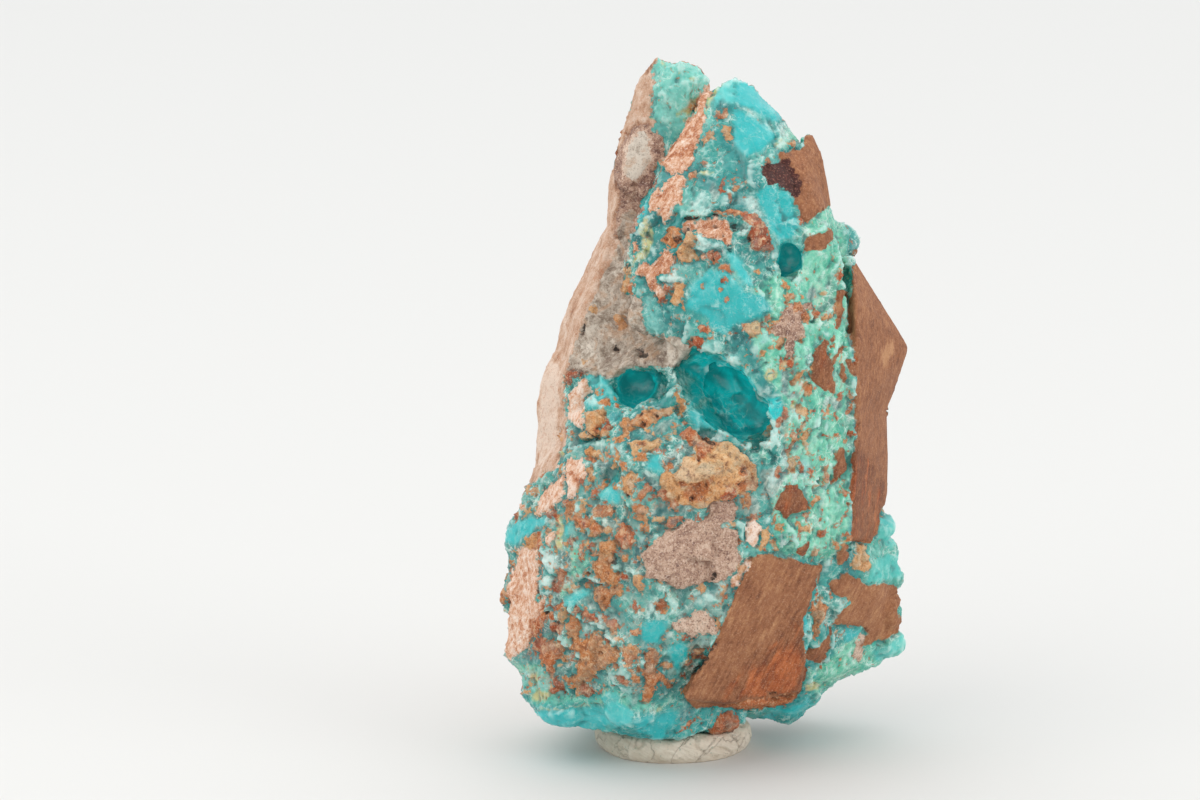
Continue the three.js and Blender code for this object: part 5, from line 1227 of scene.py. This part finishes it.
# %% Graph helper
class Graph:
    """Adds nodes to a tree. An input may be a number, a colour, or another node's output."""

    def __init__(self, tree):
        self.tree = tree

    def node(self, kind, feeds=None, **settings):
        made = self.tree.nodes.new(kind)
        for key, value in settings.items():
            setattr(made, key, value)
        for socket, value in (feeds or {}).items():
            if isinstance(value, bpy.types.NodeSocket):
                self.tree.links.new(value, made.inputs[socket])
            else:
                made.inputs[socket].default_value = value
        return made

    def math(self, operation, a, b=0.0, c=0.0):
        return self.node("ShaderNodeMath", {0: a, 1: b, 2: c}, operation=operation).outputs[0]

    def add(self, a, times, b):
        """a times a number or a mask, plus b."""
        return self.math("MULTIPLY_ADD", a, times, b)

    def mix(self, share, a, b):
        """Colour a where the share is 0, colour b where it is 1."""
        feeds = {0: share, 6: linear(a) if isinstance(a, str) else a, 7: linear(b) if isinstance(b, str) else b}
        return self.node("ShaderNodeMix", feeds, data_type="RGBA").outputs[2]

    def between(self, value, low, high, out_low=0.0, out_high=1.0):
        """A smooth step from out_low, where the value is low, to out_high, where it is high."""
        feeds = {0: value, 1: low, 2: high, 3: out_low, 4: out_high}
        return self.node("ShaderNodeMapRange", feeds, interpolation_type="SMOOTHSTEP").outputs[0]

    def noise(self, place, size, detail=3.0, rough=0.55, swirl=0.0):
        feeds = {"Vector": place, "Scale": 1 / size, "Detail": detail, "Roughness": rough, "Distortion": swirl}
        return self.node("ShaderNodeTexNoise", feeds).outputs["Fac"]

    def cells(self, place, size, feature="F1"):
        return self.node("ShaderNodeTexVoronoi", {"Vector": place, "Scale": 1 / size}, feature=feature)

    def colours(self, value, stops):
        """A colour ramp, from its places and colour codes."""
        made = self.node("ShaderNodeValToRGB", {0: value})
        ramp_stops = made.color_ramp.elements
        while len(ramp_stops) < len(stops):
            ramp_stops.new(0.5)
        for stop, (place, colour) in zip(ramp_stops, stops):
            stop.position = place
            stop.color = linear(colour)
        return made.outputs["Color"]

    def parts(self, name):
        """The three values that are kept in a vector attribute."""
        vector = self.node("ShaderNodeAttribute", attribute_name=name).outputs["Vector"]
        return self.node("ShaderNodeSeparateXYZ", {0: vector}).outputs

    def in_mm(self, squeeze=(1, 1, 1), turn=(0, 0, 0)):
        """Object coordinates in millimetres, turned and then squeezed, which draws a pattern out along an axis."""
        place = self.node("ShaderNodeTexCoord").outputs["Object"]
        feeds = {"Vector": place, "Rotation": turn, "Scale": [MM / s for s in squeeze]}
        return self.node("ShaderNodeMapping", feeds, vector_type="TEXTURE").outputs[0]


def new_group(name, outputs):
    """An empty node group with the outputs asked for, and its graph and output node."""
    tree = bpy.data.node_groups.new(name, "ShaderNodeTree")
    for label, kind in outputs.items():
        tree.interface.new_socket(label, in_out="OUTPUT", socket_type=kind)
    graph = Graph(tree)
    return tree, graph, graph.node("NodeGroupOutput")


print("graph helper ready")

# %% [markdown]
# ## Colour of the rock and the crust
#
# One group of nodes paints the stone from the bottom up, as it grew: first the hemimorphite in its greens
# and blues, then each kind of rock over it, cut out sharply where its distance passes zero. Fine noise is
# added to the distances, so the edges are crumbled on a scale that the mesh is too coarse for.

# %% Rock and crust group
paint, g, out = new_group("hemimorphite_rock", {"Color": "NodeSocketColor", "Roughness": "NodeSocketFloat",
                                                "Height": "NodeSocketFloat", "Glow": "NodeSocketColor"})


def tell(step):
    print(step + ", nodes so far:", len(paint.nodes))


place = g.in_mm()
salt = g.noise(place, 0.16, 2, 0.65)
fine = g.noise(place, 0.28, 3, 0.6)
gravel = g.noise(place, 0.55, 2, 0.6)
grain = g.noise(place, 0.9, 5, 0.68)
grit = g.node("ShaderNodeSeparateColor", {0: g.cells(place, 0.32).outputs["Color"]}).outputs[0]
patchy = g.noise(place, 1.9, 6, 0.62, 0.8)
broad = g.noise(place, 4.2, 5, 0.6, 0.6)
rock_tone, crust_tone, slate_tone = g.parts("tones")
slate, strewn, _ = g.parts("veins")
crest, knobbly, sugary_here = g.parts("shape")
brown, ochre, peach = g.parts("rock_a")
grey, pink, tan = g.parts("rock_b")
maroon, crack_and_shadow, yellow = g.parts("rock_c")
teal, mint, frost = g.parts("crust")
tell("noises and kept values")

# %% Masks
def cut(distance, crumble=0.3, edge=0.06):
    """1 inside a kind of rock and 0 outside it, with a crumbled edge."""
    wobble = g.add(g.math("ADD", fine, grit), crumble, -crumble)
    return g.between(g.math("ADD", distance, wobble), -edge, edge)


def soft(distance, low, high, wander=1.2):
    """Like cut, but it fades over a millimetre or so, in patches."""
    wobble = g.add(grain, wander, -0.5 * wander)
    return g.between(g.math("ADD", distance, wobble), low, high)


def share(mask, amount):
    """A mask made weaker, by a number or by another mask."""
    return g.math("MULTIPLY", mask, amount)


def salted(colour, pale, dark, much=0.5):
    """Strews pale grains and dark pits over a rock's colour."""
    colour = g.mix(share(g.between(salt, 0.54, 0.68), much), colour, pale)
    return g.mix(share(g.between(salt, 0.44, 0.32), much), colour, dark)


def drawn_out(length, lean, size, detail, roughness):
    """Noise drawn out in streaks, the longer the smaller the first number, which lean over to one side."""
    return g.noise(g.in_mm((1, 1, length), (0, lean, 0)), size, detail, roughness)


tell("masks")

# %% [markdown]
# ## Hemimorphite
#
# Copper colours hemimorphite: blue where it is pure, greener where it is thin or mixed with clay. Where a
# face is broken clean it is deep and glassy, where the crystals end in the open it is frosted white, and
# where they lie side by side it is drawn out in grey-green threads. Each look is laid over the last by a mask.

# %% Blue and green crust
blue = g.colours(broad, [(0.3, "#0d7272"), (0.42, "#1a8a86"), (0.54, "#349d94"), (0.66, "#5eb1a3"),
                         (0.8, "#92cabb")])
green = g.colours(patchy, [(0.3, "#2f9f85"), (0.45, "#55bb9c"), (0.57, "#7fcfb2"), (0.7, "#b4e0ca")])
crust = g.mix(soft(mint, -0.1, 0.7), blue, green)
crust = g.mix(share(g.between(grain, 0.48, 0.3), 0.5), crust, "#25898a")
crust = g.mix(share(g.between(grain, 0.55, 0.7), 0.5), crust, "#bfe0d8")
greyed = share(g.between(patchy, 0.54, 0.4), g.between(strewn, 0.1, 0.5))
crust = g.mix(share(greyed, 0.8), crust, g.mix(grain, "#4c7f78", "#adc2b4"))
tell("blue and green crust")

# %% Slate threads, deep glassy faces and frost
threads = g.add(drawn_out(0.25, 0.6, 0.4, 4, 0.6), 0.7, share(grain, 0.3))
slaty = g.colours(g.add(slate_tone, 0.2, threads),
                  [(0.25, "#1f6264"), (0.42, "#557f7b"), (0.55, "#86a59c"), (0.7, "#bccbbf")])
crust = g.mix(soft(slate, -0.15, 0.2, 0.5), crust, slaty)
deep = g.colours(g.add(crust_tone, 0.5, share(patchy, 0.9)),
                 [(0, "#048487"), (0.25, "#05b6b6"), (0.5, "#0fa9a9"), (0.8, "#1fb1b3"), (1, "#55c3bf")])
deep = g.mix(share(g.between(grain, 0.5, 0.72), g.between(crust_tone, -0.6, 0.6, 0.1, 0.4)), deep, "#6bccc7")
in_deep = soft(teal, -0.15, 0.35, 0.6)
crust = g.mix(in_deep, crust, deep)
white = g.mix(g.between(crust_tone, 0, 1), "#7cc7bf", "#d2e4dd")
crust = g.mix(share(soft(frost, -0.3, 0.5), g.between(grain, 0.3, 0.6, 0.3, 0.9)), crust, white)
tell("slate, deep faces and frost")

# %% Round heads and yellow stains
TALL = 66
upward = g.node("ShaderNodeSeparateXYZ", {0: place}).outputs["Z"]
head = g.colours(g.math("DIVIDE", upward, TALL),  # clear blue at the foot, greener up the flank, palest at the summit
                 [(0.08, "#22b4ba"), (0.14, "#66bfa2"), (0.85, "#66bfa2"), (0.9, "#82d8c6")])
crust = g.mix(g.math("MULTIPLY", knobbly, g.between(upward, 55, 59, 0.35, 1.2)), crust, head)
stain = g.mix(g.between(rock_tone, -0.4, 0.4), "#a3ad66", "#d3c595")
crust = g.mix(soft(yellow, -0.1, 0.25, 0.5), crust, stain)
tell("round heads and stains")

# %% [markdown]
# ## Veins, films and flecks
#
# Fine things make a crust look real: a net of thin veins between the crystals, films of clay, and flecks
# of clay-stone far smaller than the mesh could carry. They are cell noise of a few tenths of a millimetre.
# Frost and painted highlight on the crests and painted shade in the dips come last, from the convexity that was kept
# on the mesh.

# %% Thin veins
wander = g.node("ShaderNodeTexNoise", {"Vector": place, "Scale": 1 / 1.1, "Detail": 3.0}).outputs["Color"]
tangle = g.node("ShaderNodeVectorMath", {0: place, 1: wander}).outputs[0]
for size, width in ((1.5, 0.07), (0.75, 0.05)):
    seam = g.between(g.cells(tangle, size, "DISTANCE_TO_EDGE").outputs["Distance"], width, 0.2 * width)
    seam = share(share(seam, g.between(in_deep, 0, 1, 1, 0.3)), g.between(sugary_here, 0, 0.5, 0.4, 1))
    crust = g.mix(share(seam, g.between(grain, 0.4, 0.62, 0.1, 0.75)), crust,
                  g.mix(g.between(broad, 0.42, 0.5), "#1d7f7c", "#d4e9dd"))
tell("thin veins")

# %% Films of clay and flecks of clay-stone
film = share(g.between(patchy, 0.5, 0.66), g.between(strewn, 0.1, 0.8))
crust = g.mix(share(film, 0.75), crust, g.mix(g.between(fine, 0.4, 0.6), "#b98257", "#cdb396"))
for size, shift in ((0.66, 7.1), (0.38, 2.9)):
    moved = g.node("ShaderNodeVectorMath", {0: place, 1: (shift, shift, -shift)}).outputs[0]
    specks = g.cells(moved, size)
    pick = g.node("ShaderNodeSeparateColor", {0: specks.outputs["Color"]}).outputs[0]
    chosen = g.math("LESS_THAN", pick, share(strewn, g.between(patchy, 0.38, 0.62, 0, 0.6)))
    round_off = g.between(g.add(fine, 0.6, specks.outputs["Distance"]), 0.5, 0.72, 1, 0)
    fleck = share(share(chosen, round_off), g.between(in_deep, 0, 0.3, 0.9, 0))
    crust = g.mix(fleck, crust, g.mix(g.between(pick, 0, 0.3), "#a9623a", "#d9ad80"))
tell("films and flecks")

# %% Frost and painted highlight on the crests, painted shade in the dips
frosting = g.between(g.add(salt, 0.45, share(grain, 0.55)), 0.53, 0.62)
frosting = share(frosting, g.between(sugary_here, 0, 1, 0.1, 0.75))
on_glass = g.math("SUBTRACT", g.between(crust_tone, -0.2, 0.3, 0.05, 0.35), 0.9)
crust = g.mix(share(frosting, g.add(in_deep, on_glass, 0.9)), crust, "#d3e6de")
# Crests are painted pale, partly frost and partly painted highlight. Dips are painted deep teal as painted shade.
crust = g.mix(share(g.between(crest, 0.6, 2.4), 0.55), crust, "#cbe4dc")
crust = g.mix(share(g.between(crest, -0.2, -2), 0.65), crust, "#116a69")
tell("frost and shade")

# %% [markdown]
# ## Kinds of rock
#
# The clay-stones differ more in grain than in colour: ochre and pink ones are evenly grainy, peach and tan
# ones break in flaky strokes, and the brown face is drawn out in ripples along its old bedding, with rusty
# bands. The tone that each patch was given moves it along its own ramp of colours.

# %% Ochre clay-stone
grainy = g.add(grit, 0.22, share(grain, 0.78))
ochre_colour = g.colours(g.add(rock_tone, 0.5, 0.5),
                         [(0, "#6a2c1e"), (0.2, "#964528"), (0.38, "#b65a33"), (0.52, "#be7444"),
                          (0.66, "#ca8c55"), (0.8, "#d8a774"), (1, "#e2c19c")])
ochre_colour = g.mix(share(g.between(grainy, 0.5, 0.28), 0.75), ochre_colour, "#6a3622")
ochre_colour = g.mix(share(g.between(grainy, 0.5, 0.72), 0.6), ochre_colour, "#e6cba4")
ochre_colour = salted(ochre_colour, "#e8cfae", "#4d2a19", 0.45)
tell("ochre clay-stone")

# %% Peach and pink rock
strokes = g.add(drawn_out(0.3, 0.65, 0.4, 5, 0.62), 0.6, share(grain, 0.4))
strokes = g.add(grit, 0.14, g.math("SUBTRACT", strokes, 0.07))
peach_colour = g.colours(g.add(rock_tone, 0.2, strokes),
                         [(0.33, "#a5623f"), (0.42, "#c78a66"), (0.52, "#e0b598"), (0.66, "#f0dccd")])
peach_colour = salted(peach_colour, "#f5e8de", "#8d4f33", 0.5)
dots = g.between(g.add(grain, 0.6, g.cells(place, 0.3).outputs["Distance"]), 0.45, 0.62, 1, 0)
pink_colour = g.colours(g.add(rock_tone, 0.25, grainy),
                        [(0.2, "#75554c"), (0.4, "#a88673"), (0.55, "#c2a18c"), (0.75, "#d9c0ac")])
pink_colour = salted(g.mix(share(dots, 0.5), pink_colour, "#5f4037"), "#e3cdbd", "#5a3c33", 0.7)
tell("peach and pink rock")

# %% Grey and tan rock
grey_colour = g.colours(g.add(rock_tone, 0.16, g.add(grainy, 0.6, share(patchy, 0.4))),
                        [(0.3, "#5f4c43"), (0.41, "#8f7f70"), (0.5, "#b0a293"), (0.62, "#d6cbbd")])
grey_colour = g.mix(share(g.between(patchy, 0.5, 0.64), 0.6), grey_colour, g.mix(fine, "#94633f", "#c9a481"))
grey_colour = salted(grey_colour, "#d6cabb", "#5d4a3e", 0.45)
flakes = g.add(drawn_out(0.4, 0.3, 0.9, 6, 0.65), 0.5, share(patchy, 0.5))
tan_colour = g.colours(g.add(rock_tone, 0.2, flakes),
                       [(0.31, "#80553d"), (0.42, "#b0866b"), (0.52, "#caa68d"), (0.64, "#e0c9b7")])
tan_colour = g.mix(share(g.between(gravel, 0.55, 0.7), 0.35), tan_colour, "#b9764f")
tan_colour = salted(tan_colour, "#e7d6c7", "#7b5644", 0.4)
tell("grey and tan rock")

# %% Brown rock and maroon rock
ripples = g.add(drawn_out(0.16, 0.42, 0.34, 5, 0.66), 0.42, g.add(broad, 0.26, share(grainy, 0.32)))
brown_colour = g.colours(g.add(rock_tone, 0.25, ripples),
                         [(0.35, "#6b3b25"), (0.45, "#895638"), (0.53, "#9d6847"), (0.66, "#b9875f")])
rusty = g.between(g.add(drawn_out(0.3, 0.42, 1.1, 5, 0.62), 1.2, rock_tone), 0.36, 0.02)
brown_colour = g.mix(rusty, brown_colour, g.mix(g.between(ripples, 0.42, 0.6), "#93461f", "#bf6f42"))
brown_colour = salted(brown_colour, "#d0a888", "#66402c", 0.3)
dust = g.between(g.noise(place, 0.2, 2), 0.67, 0.74)
brown_colour = g.mix(share(dust, 0.4), brown_colour, "#d5b296")
maroon_colour = salted(g.mix(grain, "#2c1413", "#5c2f28"), "#a8705c", "#1c0c0b", 0.6)
tell("brown and maroon rock")

# %% Layers of rock over the crust, with painted shade in dips and cracks
CLEAN_EDGE, CRUMBLED_EDGE = 0.08, 0.24

in_brown = cut(brown, CLEAN_EDGE)
colour, bare = crust, 0.0
for distance, own in ((tan, tan_colour), (pink, pink_colour), (grey, grey_colour), (brown, brown_colour),
                      (peach, peach_colour), (ochre, ochre_colour), (maroon, maroon_colour)):
    mask = in_brown if distance is brown else cut(distance, CRUMBLED_EDGE)
    glaze = g.between(patchy, 0.42, 0.62, 1, 0.75) if distance is ochre else 1.0
    colour = g.mix(share(mask, glaze), colour, own)
    bare = g.math("MAXIMUM", bare, mask)
rock_shaded_in_dips = share(bare, g.math("SUBTRACT", 1.0, in_brown))
# Painted shade: rough rock, not the clean brown faces, is painted dark brown in its dips.
colour = g.mix(share(share(g.between(crest, -0.4, -2.4), rock_shaded_in_dips), 0.5), colour, "#5a3422")
# Painted shadow: cracks, pits and the shade under undercut edges are painted near-black.
colour = g.mix(share(cut(crack_and_shadow), 0.85), colour, "#2b2622")
tell("layers of rock")

# %% [markdown]
# ## Gloss, fine relief and glow
#
# The crust is glossy where it is smooth and satiny where it is sugary, and the rock is dull. The finest
# relief, of a few hundredths of a millimetre, is a bump map: stronger on rock, calmer on the clean brown
# faces and on the round heads. A little light of the crust's own colour stands for what comes through it.

# %% Gloss and fine relief
crust_gloss = g.between(share(sugary_here, grain), 0.1, 0.6, 0.22, 0.5)
rock_gloss = g.between(grain, 0.3, 0.7, 0.72, 0.9)
gloss = g.add(bare, g.math("SUBTRACT", rock_gloss, crust_gloss), crust_gloss)
crust_height = g.add(fine, 0.5, g.add(grain, 1.2, share(salt, 0.2)))
crust_height = share(crust_height, g.between(sugary_here, 0, 1, 0.4, 1))
rock_height = g.add(salt, 0.4, g.add(grain, 1.0, share(fine, 0.6)))
rise = g.add(bare, g.math("SUBTRACT", rock_height, crust_height), crust_height)
covered = g.math("SUBTRACT", 1.0, bare)
clean_faces = share(in_brown, g.math("SUBTRACT", 1.0, cut(ochre)))
rise = share(rise, g.between(clean_faces, 0, 1, 1, 0.35))
rise = share(rise, g.between(share(knobbly, covered), 0, 1, 1, 0.4))
tell("gloss and relief")

# %% Light under the skin, and what the group gives
inner = share(g.between(teal, -0.3, 0.5), g.between(crust_tone, 0.2, -0.4, 0.3, 1))
lit = share(covered, g.between(inner, 0, 1, 0.02, 0.3))
glow = g.mix(lit, (0, 0, 0, 1), crust)
for label, value in (("Color", colour), ("Roughness", gloss), ("Height", rise), ("Glow", glow)):
    g.tree.links.new(value, out.inputs[label])
tell("the whole paint of the stone")

# %% [markdown]
# ## Two finishes over one paint
#
# Hemimorphite lets light in, so its faces scatter light under the skin, tinted blue-green. The rock doesn't.
# How much a surface scatters has to be one number for a whole material, so the faces are shared out
# between two materials that use the same paint.

# %% Materials of the stone
ROCK_IOR, CRYSTAL_IOR = 1.45, 1.61
DEPTH_OF_LIGHT = 1.2 * MM
BLUE_GREEN = (0.25, 1.0, 0.95)  # how far red, green and blue light go, as shares of that depth


def finish(name, scatter, ior, bump):
    """A material that uses the stone's paint, with its own scattering, gloss and depth of fine relief."""
    made, shader = new_material(name)
    graph = Graph(made.node_tree)
    group = graph.node("ShaderNodeGroup", node_tree=paint)
    relief_node = graph.node("ShaderNodeBump", {"Height": group.outputs["Height"], "Distance": bump,
                                                "Strength": 1.0})
    for label, socket in (("Color", "Base Color"), ("Roughness", "Roughness"), ("Glow", "Emission Color")):
        graph.tree.links.new(group.outputs[label], shader.inputs[socket])
    graph.tree.links.new(relief_node.outputs["Normal"], shader.inputs["Normal"])
    shader.inputs["Emission Strength"].default_value = 1
    shader.inputs["IOR"].default_value = ior
    if scatter:
        shader.inputs["Subsurface Weight"].default_value = scatter
        shader.inputs["Subsurface Radius"].default_value = BLUE_GREEN
        shader.inputs["Subsurface Scale"].default_value = DEPTH_OF_LIGHT
    return made


stone.data.materials.append(finish("matrix_rock", 0, ROCK_IOR, 0.12 * MM))
stone.data.materials.append(finish("hemimorphite", 0.35, CRYSTAL_IOR, 0.1 * MM))
print("materials of the stone:", [material.name for material in stone.data.materials])


# %% Faces of rock and faces of hemimorphite
def bare_rock(mesh):
    """For each point, how far it is inside any kind of rock, from the attributes kept on the mesh."""
    deepest = np.full(len(mesh.vertices), -NEAR)
    for name in ("rock_a", "rock_b"):
        values = np.empty(len(mesh.vertices) * 3, np.float32)
        mesh.attributes[name].data.foreach_get("vector", values)
        deepest = np.maximum(deepest, values.reshape(-1, 3).max(1))
    return deepest


rock = bare_rock(stone.data)
crusted = [int(np.mean([rock[v] for v in face.vertices]) < 0) for face in stone.data.polygons]
stone.data.polygons.foreach_set("material_index", crusted)
print("faces of hemimorphite:", sum(crusted), "of", len(crusted))
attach(stone, "root")
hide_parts("hemimorphite_stone")

# %% [markdown]
# ## The putty
#
# Mineral putty is rolled into a ball, set on the surface and pressed flat by the stone. It keeps the dents
# of the fingers round its rim, creases where it folded, and grips the stone with a little lip.

# %% Putty
PUTTY_VOXEL = 0.16 * MM
FOOT = 0.15 * MM  # the flat underside keeps still below this height

putty = remeshed(welded_copy("putty_pat", "putty"), PUTTY_VOXEL)
soft_skin = bmesh.new()
soft_skin.from_mesh(putty.data)
above = [v for v in soft_skin.verts if v.co.z > FOOT]
smooth(soft_skin, above, 4)
soft_skin.to_mesh(putty.data)
soft_skin.free()
print("putty points:", len(putty.data.vertices), "free to move:", len(above))

# %% Dents, creases and lip
points = field(putty.data, "co") / MM
normals = normals_of(putty.data)
creases = 1 - ramp(np.abs(splinters(points, (1, 0.3, -0.5), 1.9, 3, 41)), 0, 0.07)
dents = smooth_noise(points, 3.2, 42)
height = 0.34 * dents - 0.3 * creases * ramp(dents, -0.3, 0.1) + 0.07 * smooth_noise(points, 0.8, 43)
height += 0.22 * ramp(points[:, 2], 1.2, 2.2)  # the lip that grips the stone
height *= ramp(points[:, 2], 0.05, 0.5)        # nothing moves at the foot
normals[:, 2] = np.maximum(normals[:, 2], 0)
putty.data.vertices.foreach_set("co", ((points + height[:, None] * normals) * MM).ravel())
putty.data.update()
putty.data.shade_smooth()
print("relief of the putty, mm:", round(float(height.min()), 2), "to", round(float(height.max()), 2))

# %% Putty finish
clay, shader = new_material("putty")
g = Graph(clay.node_tree)
place = g.in_mm()
tone = g.noise(place, 2.4, 4)
fibre = g.noise(g.in_mm((1, 1, 5), (0, 0.5, 0)), 1.4, 4, 0.6)
tint = g.colours(g.add(fibre, 0.5, g.math("MULTIPLY", tone, 0.5)),
                 [(0.3, "#bfae98"), (0.45, "#d6c9b6"), (0.6, "#e3d8c7"), (0.75, "#ece4d6")])
threads = g.noise(g.in_mm((1, 1, 0.5), (0, 0.9, 0.4)), 2.6, 4, 0.5, 0.5)
crack_line = g.between(g.math("ABSOLUTE", g.math("SUBTRACT", threads, 0.5)), 0.012, 0.003)
tint = g.mix(g.math("MULTIPLY", crack_line, g.between(tone, 0.48, 0.62, 0, 0.45)), tint, "#93826d")
tint = g.mix(g.math("MULTIPLY", g.between(g.noise(place, 0.35, 2), 0.66, 0.72), 0.6), tint, "#8b9a8a")
g.tree.links.new(tint, shader.inputs["Base Color"])
g.tree.links.new(g.between(tone, 0.3, 0.7, 0.7, 0.85), shader.inputs["Roughness"])
pressed = g.add(fibre, 1.0, g.math("SUBTRACT", g.noise(place, 0.3, 3), crack_line))
bump = g.node("ShaderNodeBump", {"Height": pressed, "Distance": 0.12 * MM})
g.tree.links.new(bump.outputs["Normal"], shader.inputs["Normal"])
putty.data.materials.append(clay)
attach(putty, "root")
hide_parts("putty_pat")
print("putty finished")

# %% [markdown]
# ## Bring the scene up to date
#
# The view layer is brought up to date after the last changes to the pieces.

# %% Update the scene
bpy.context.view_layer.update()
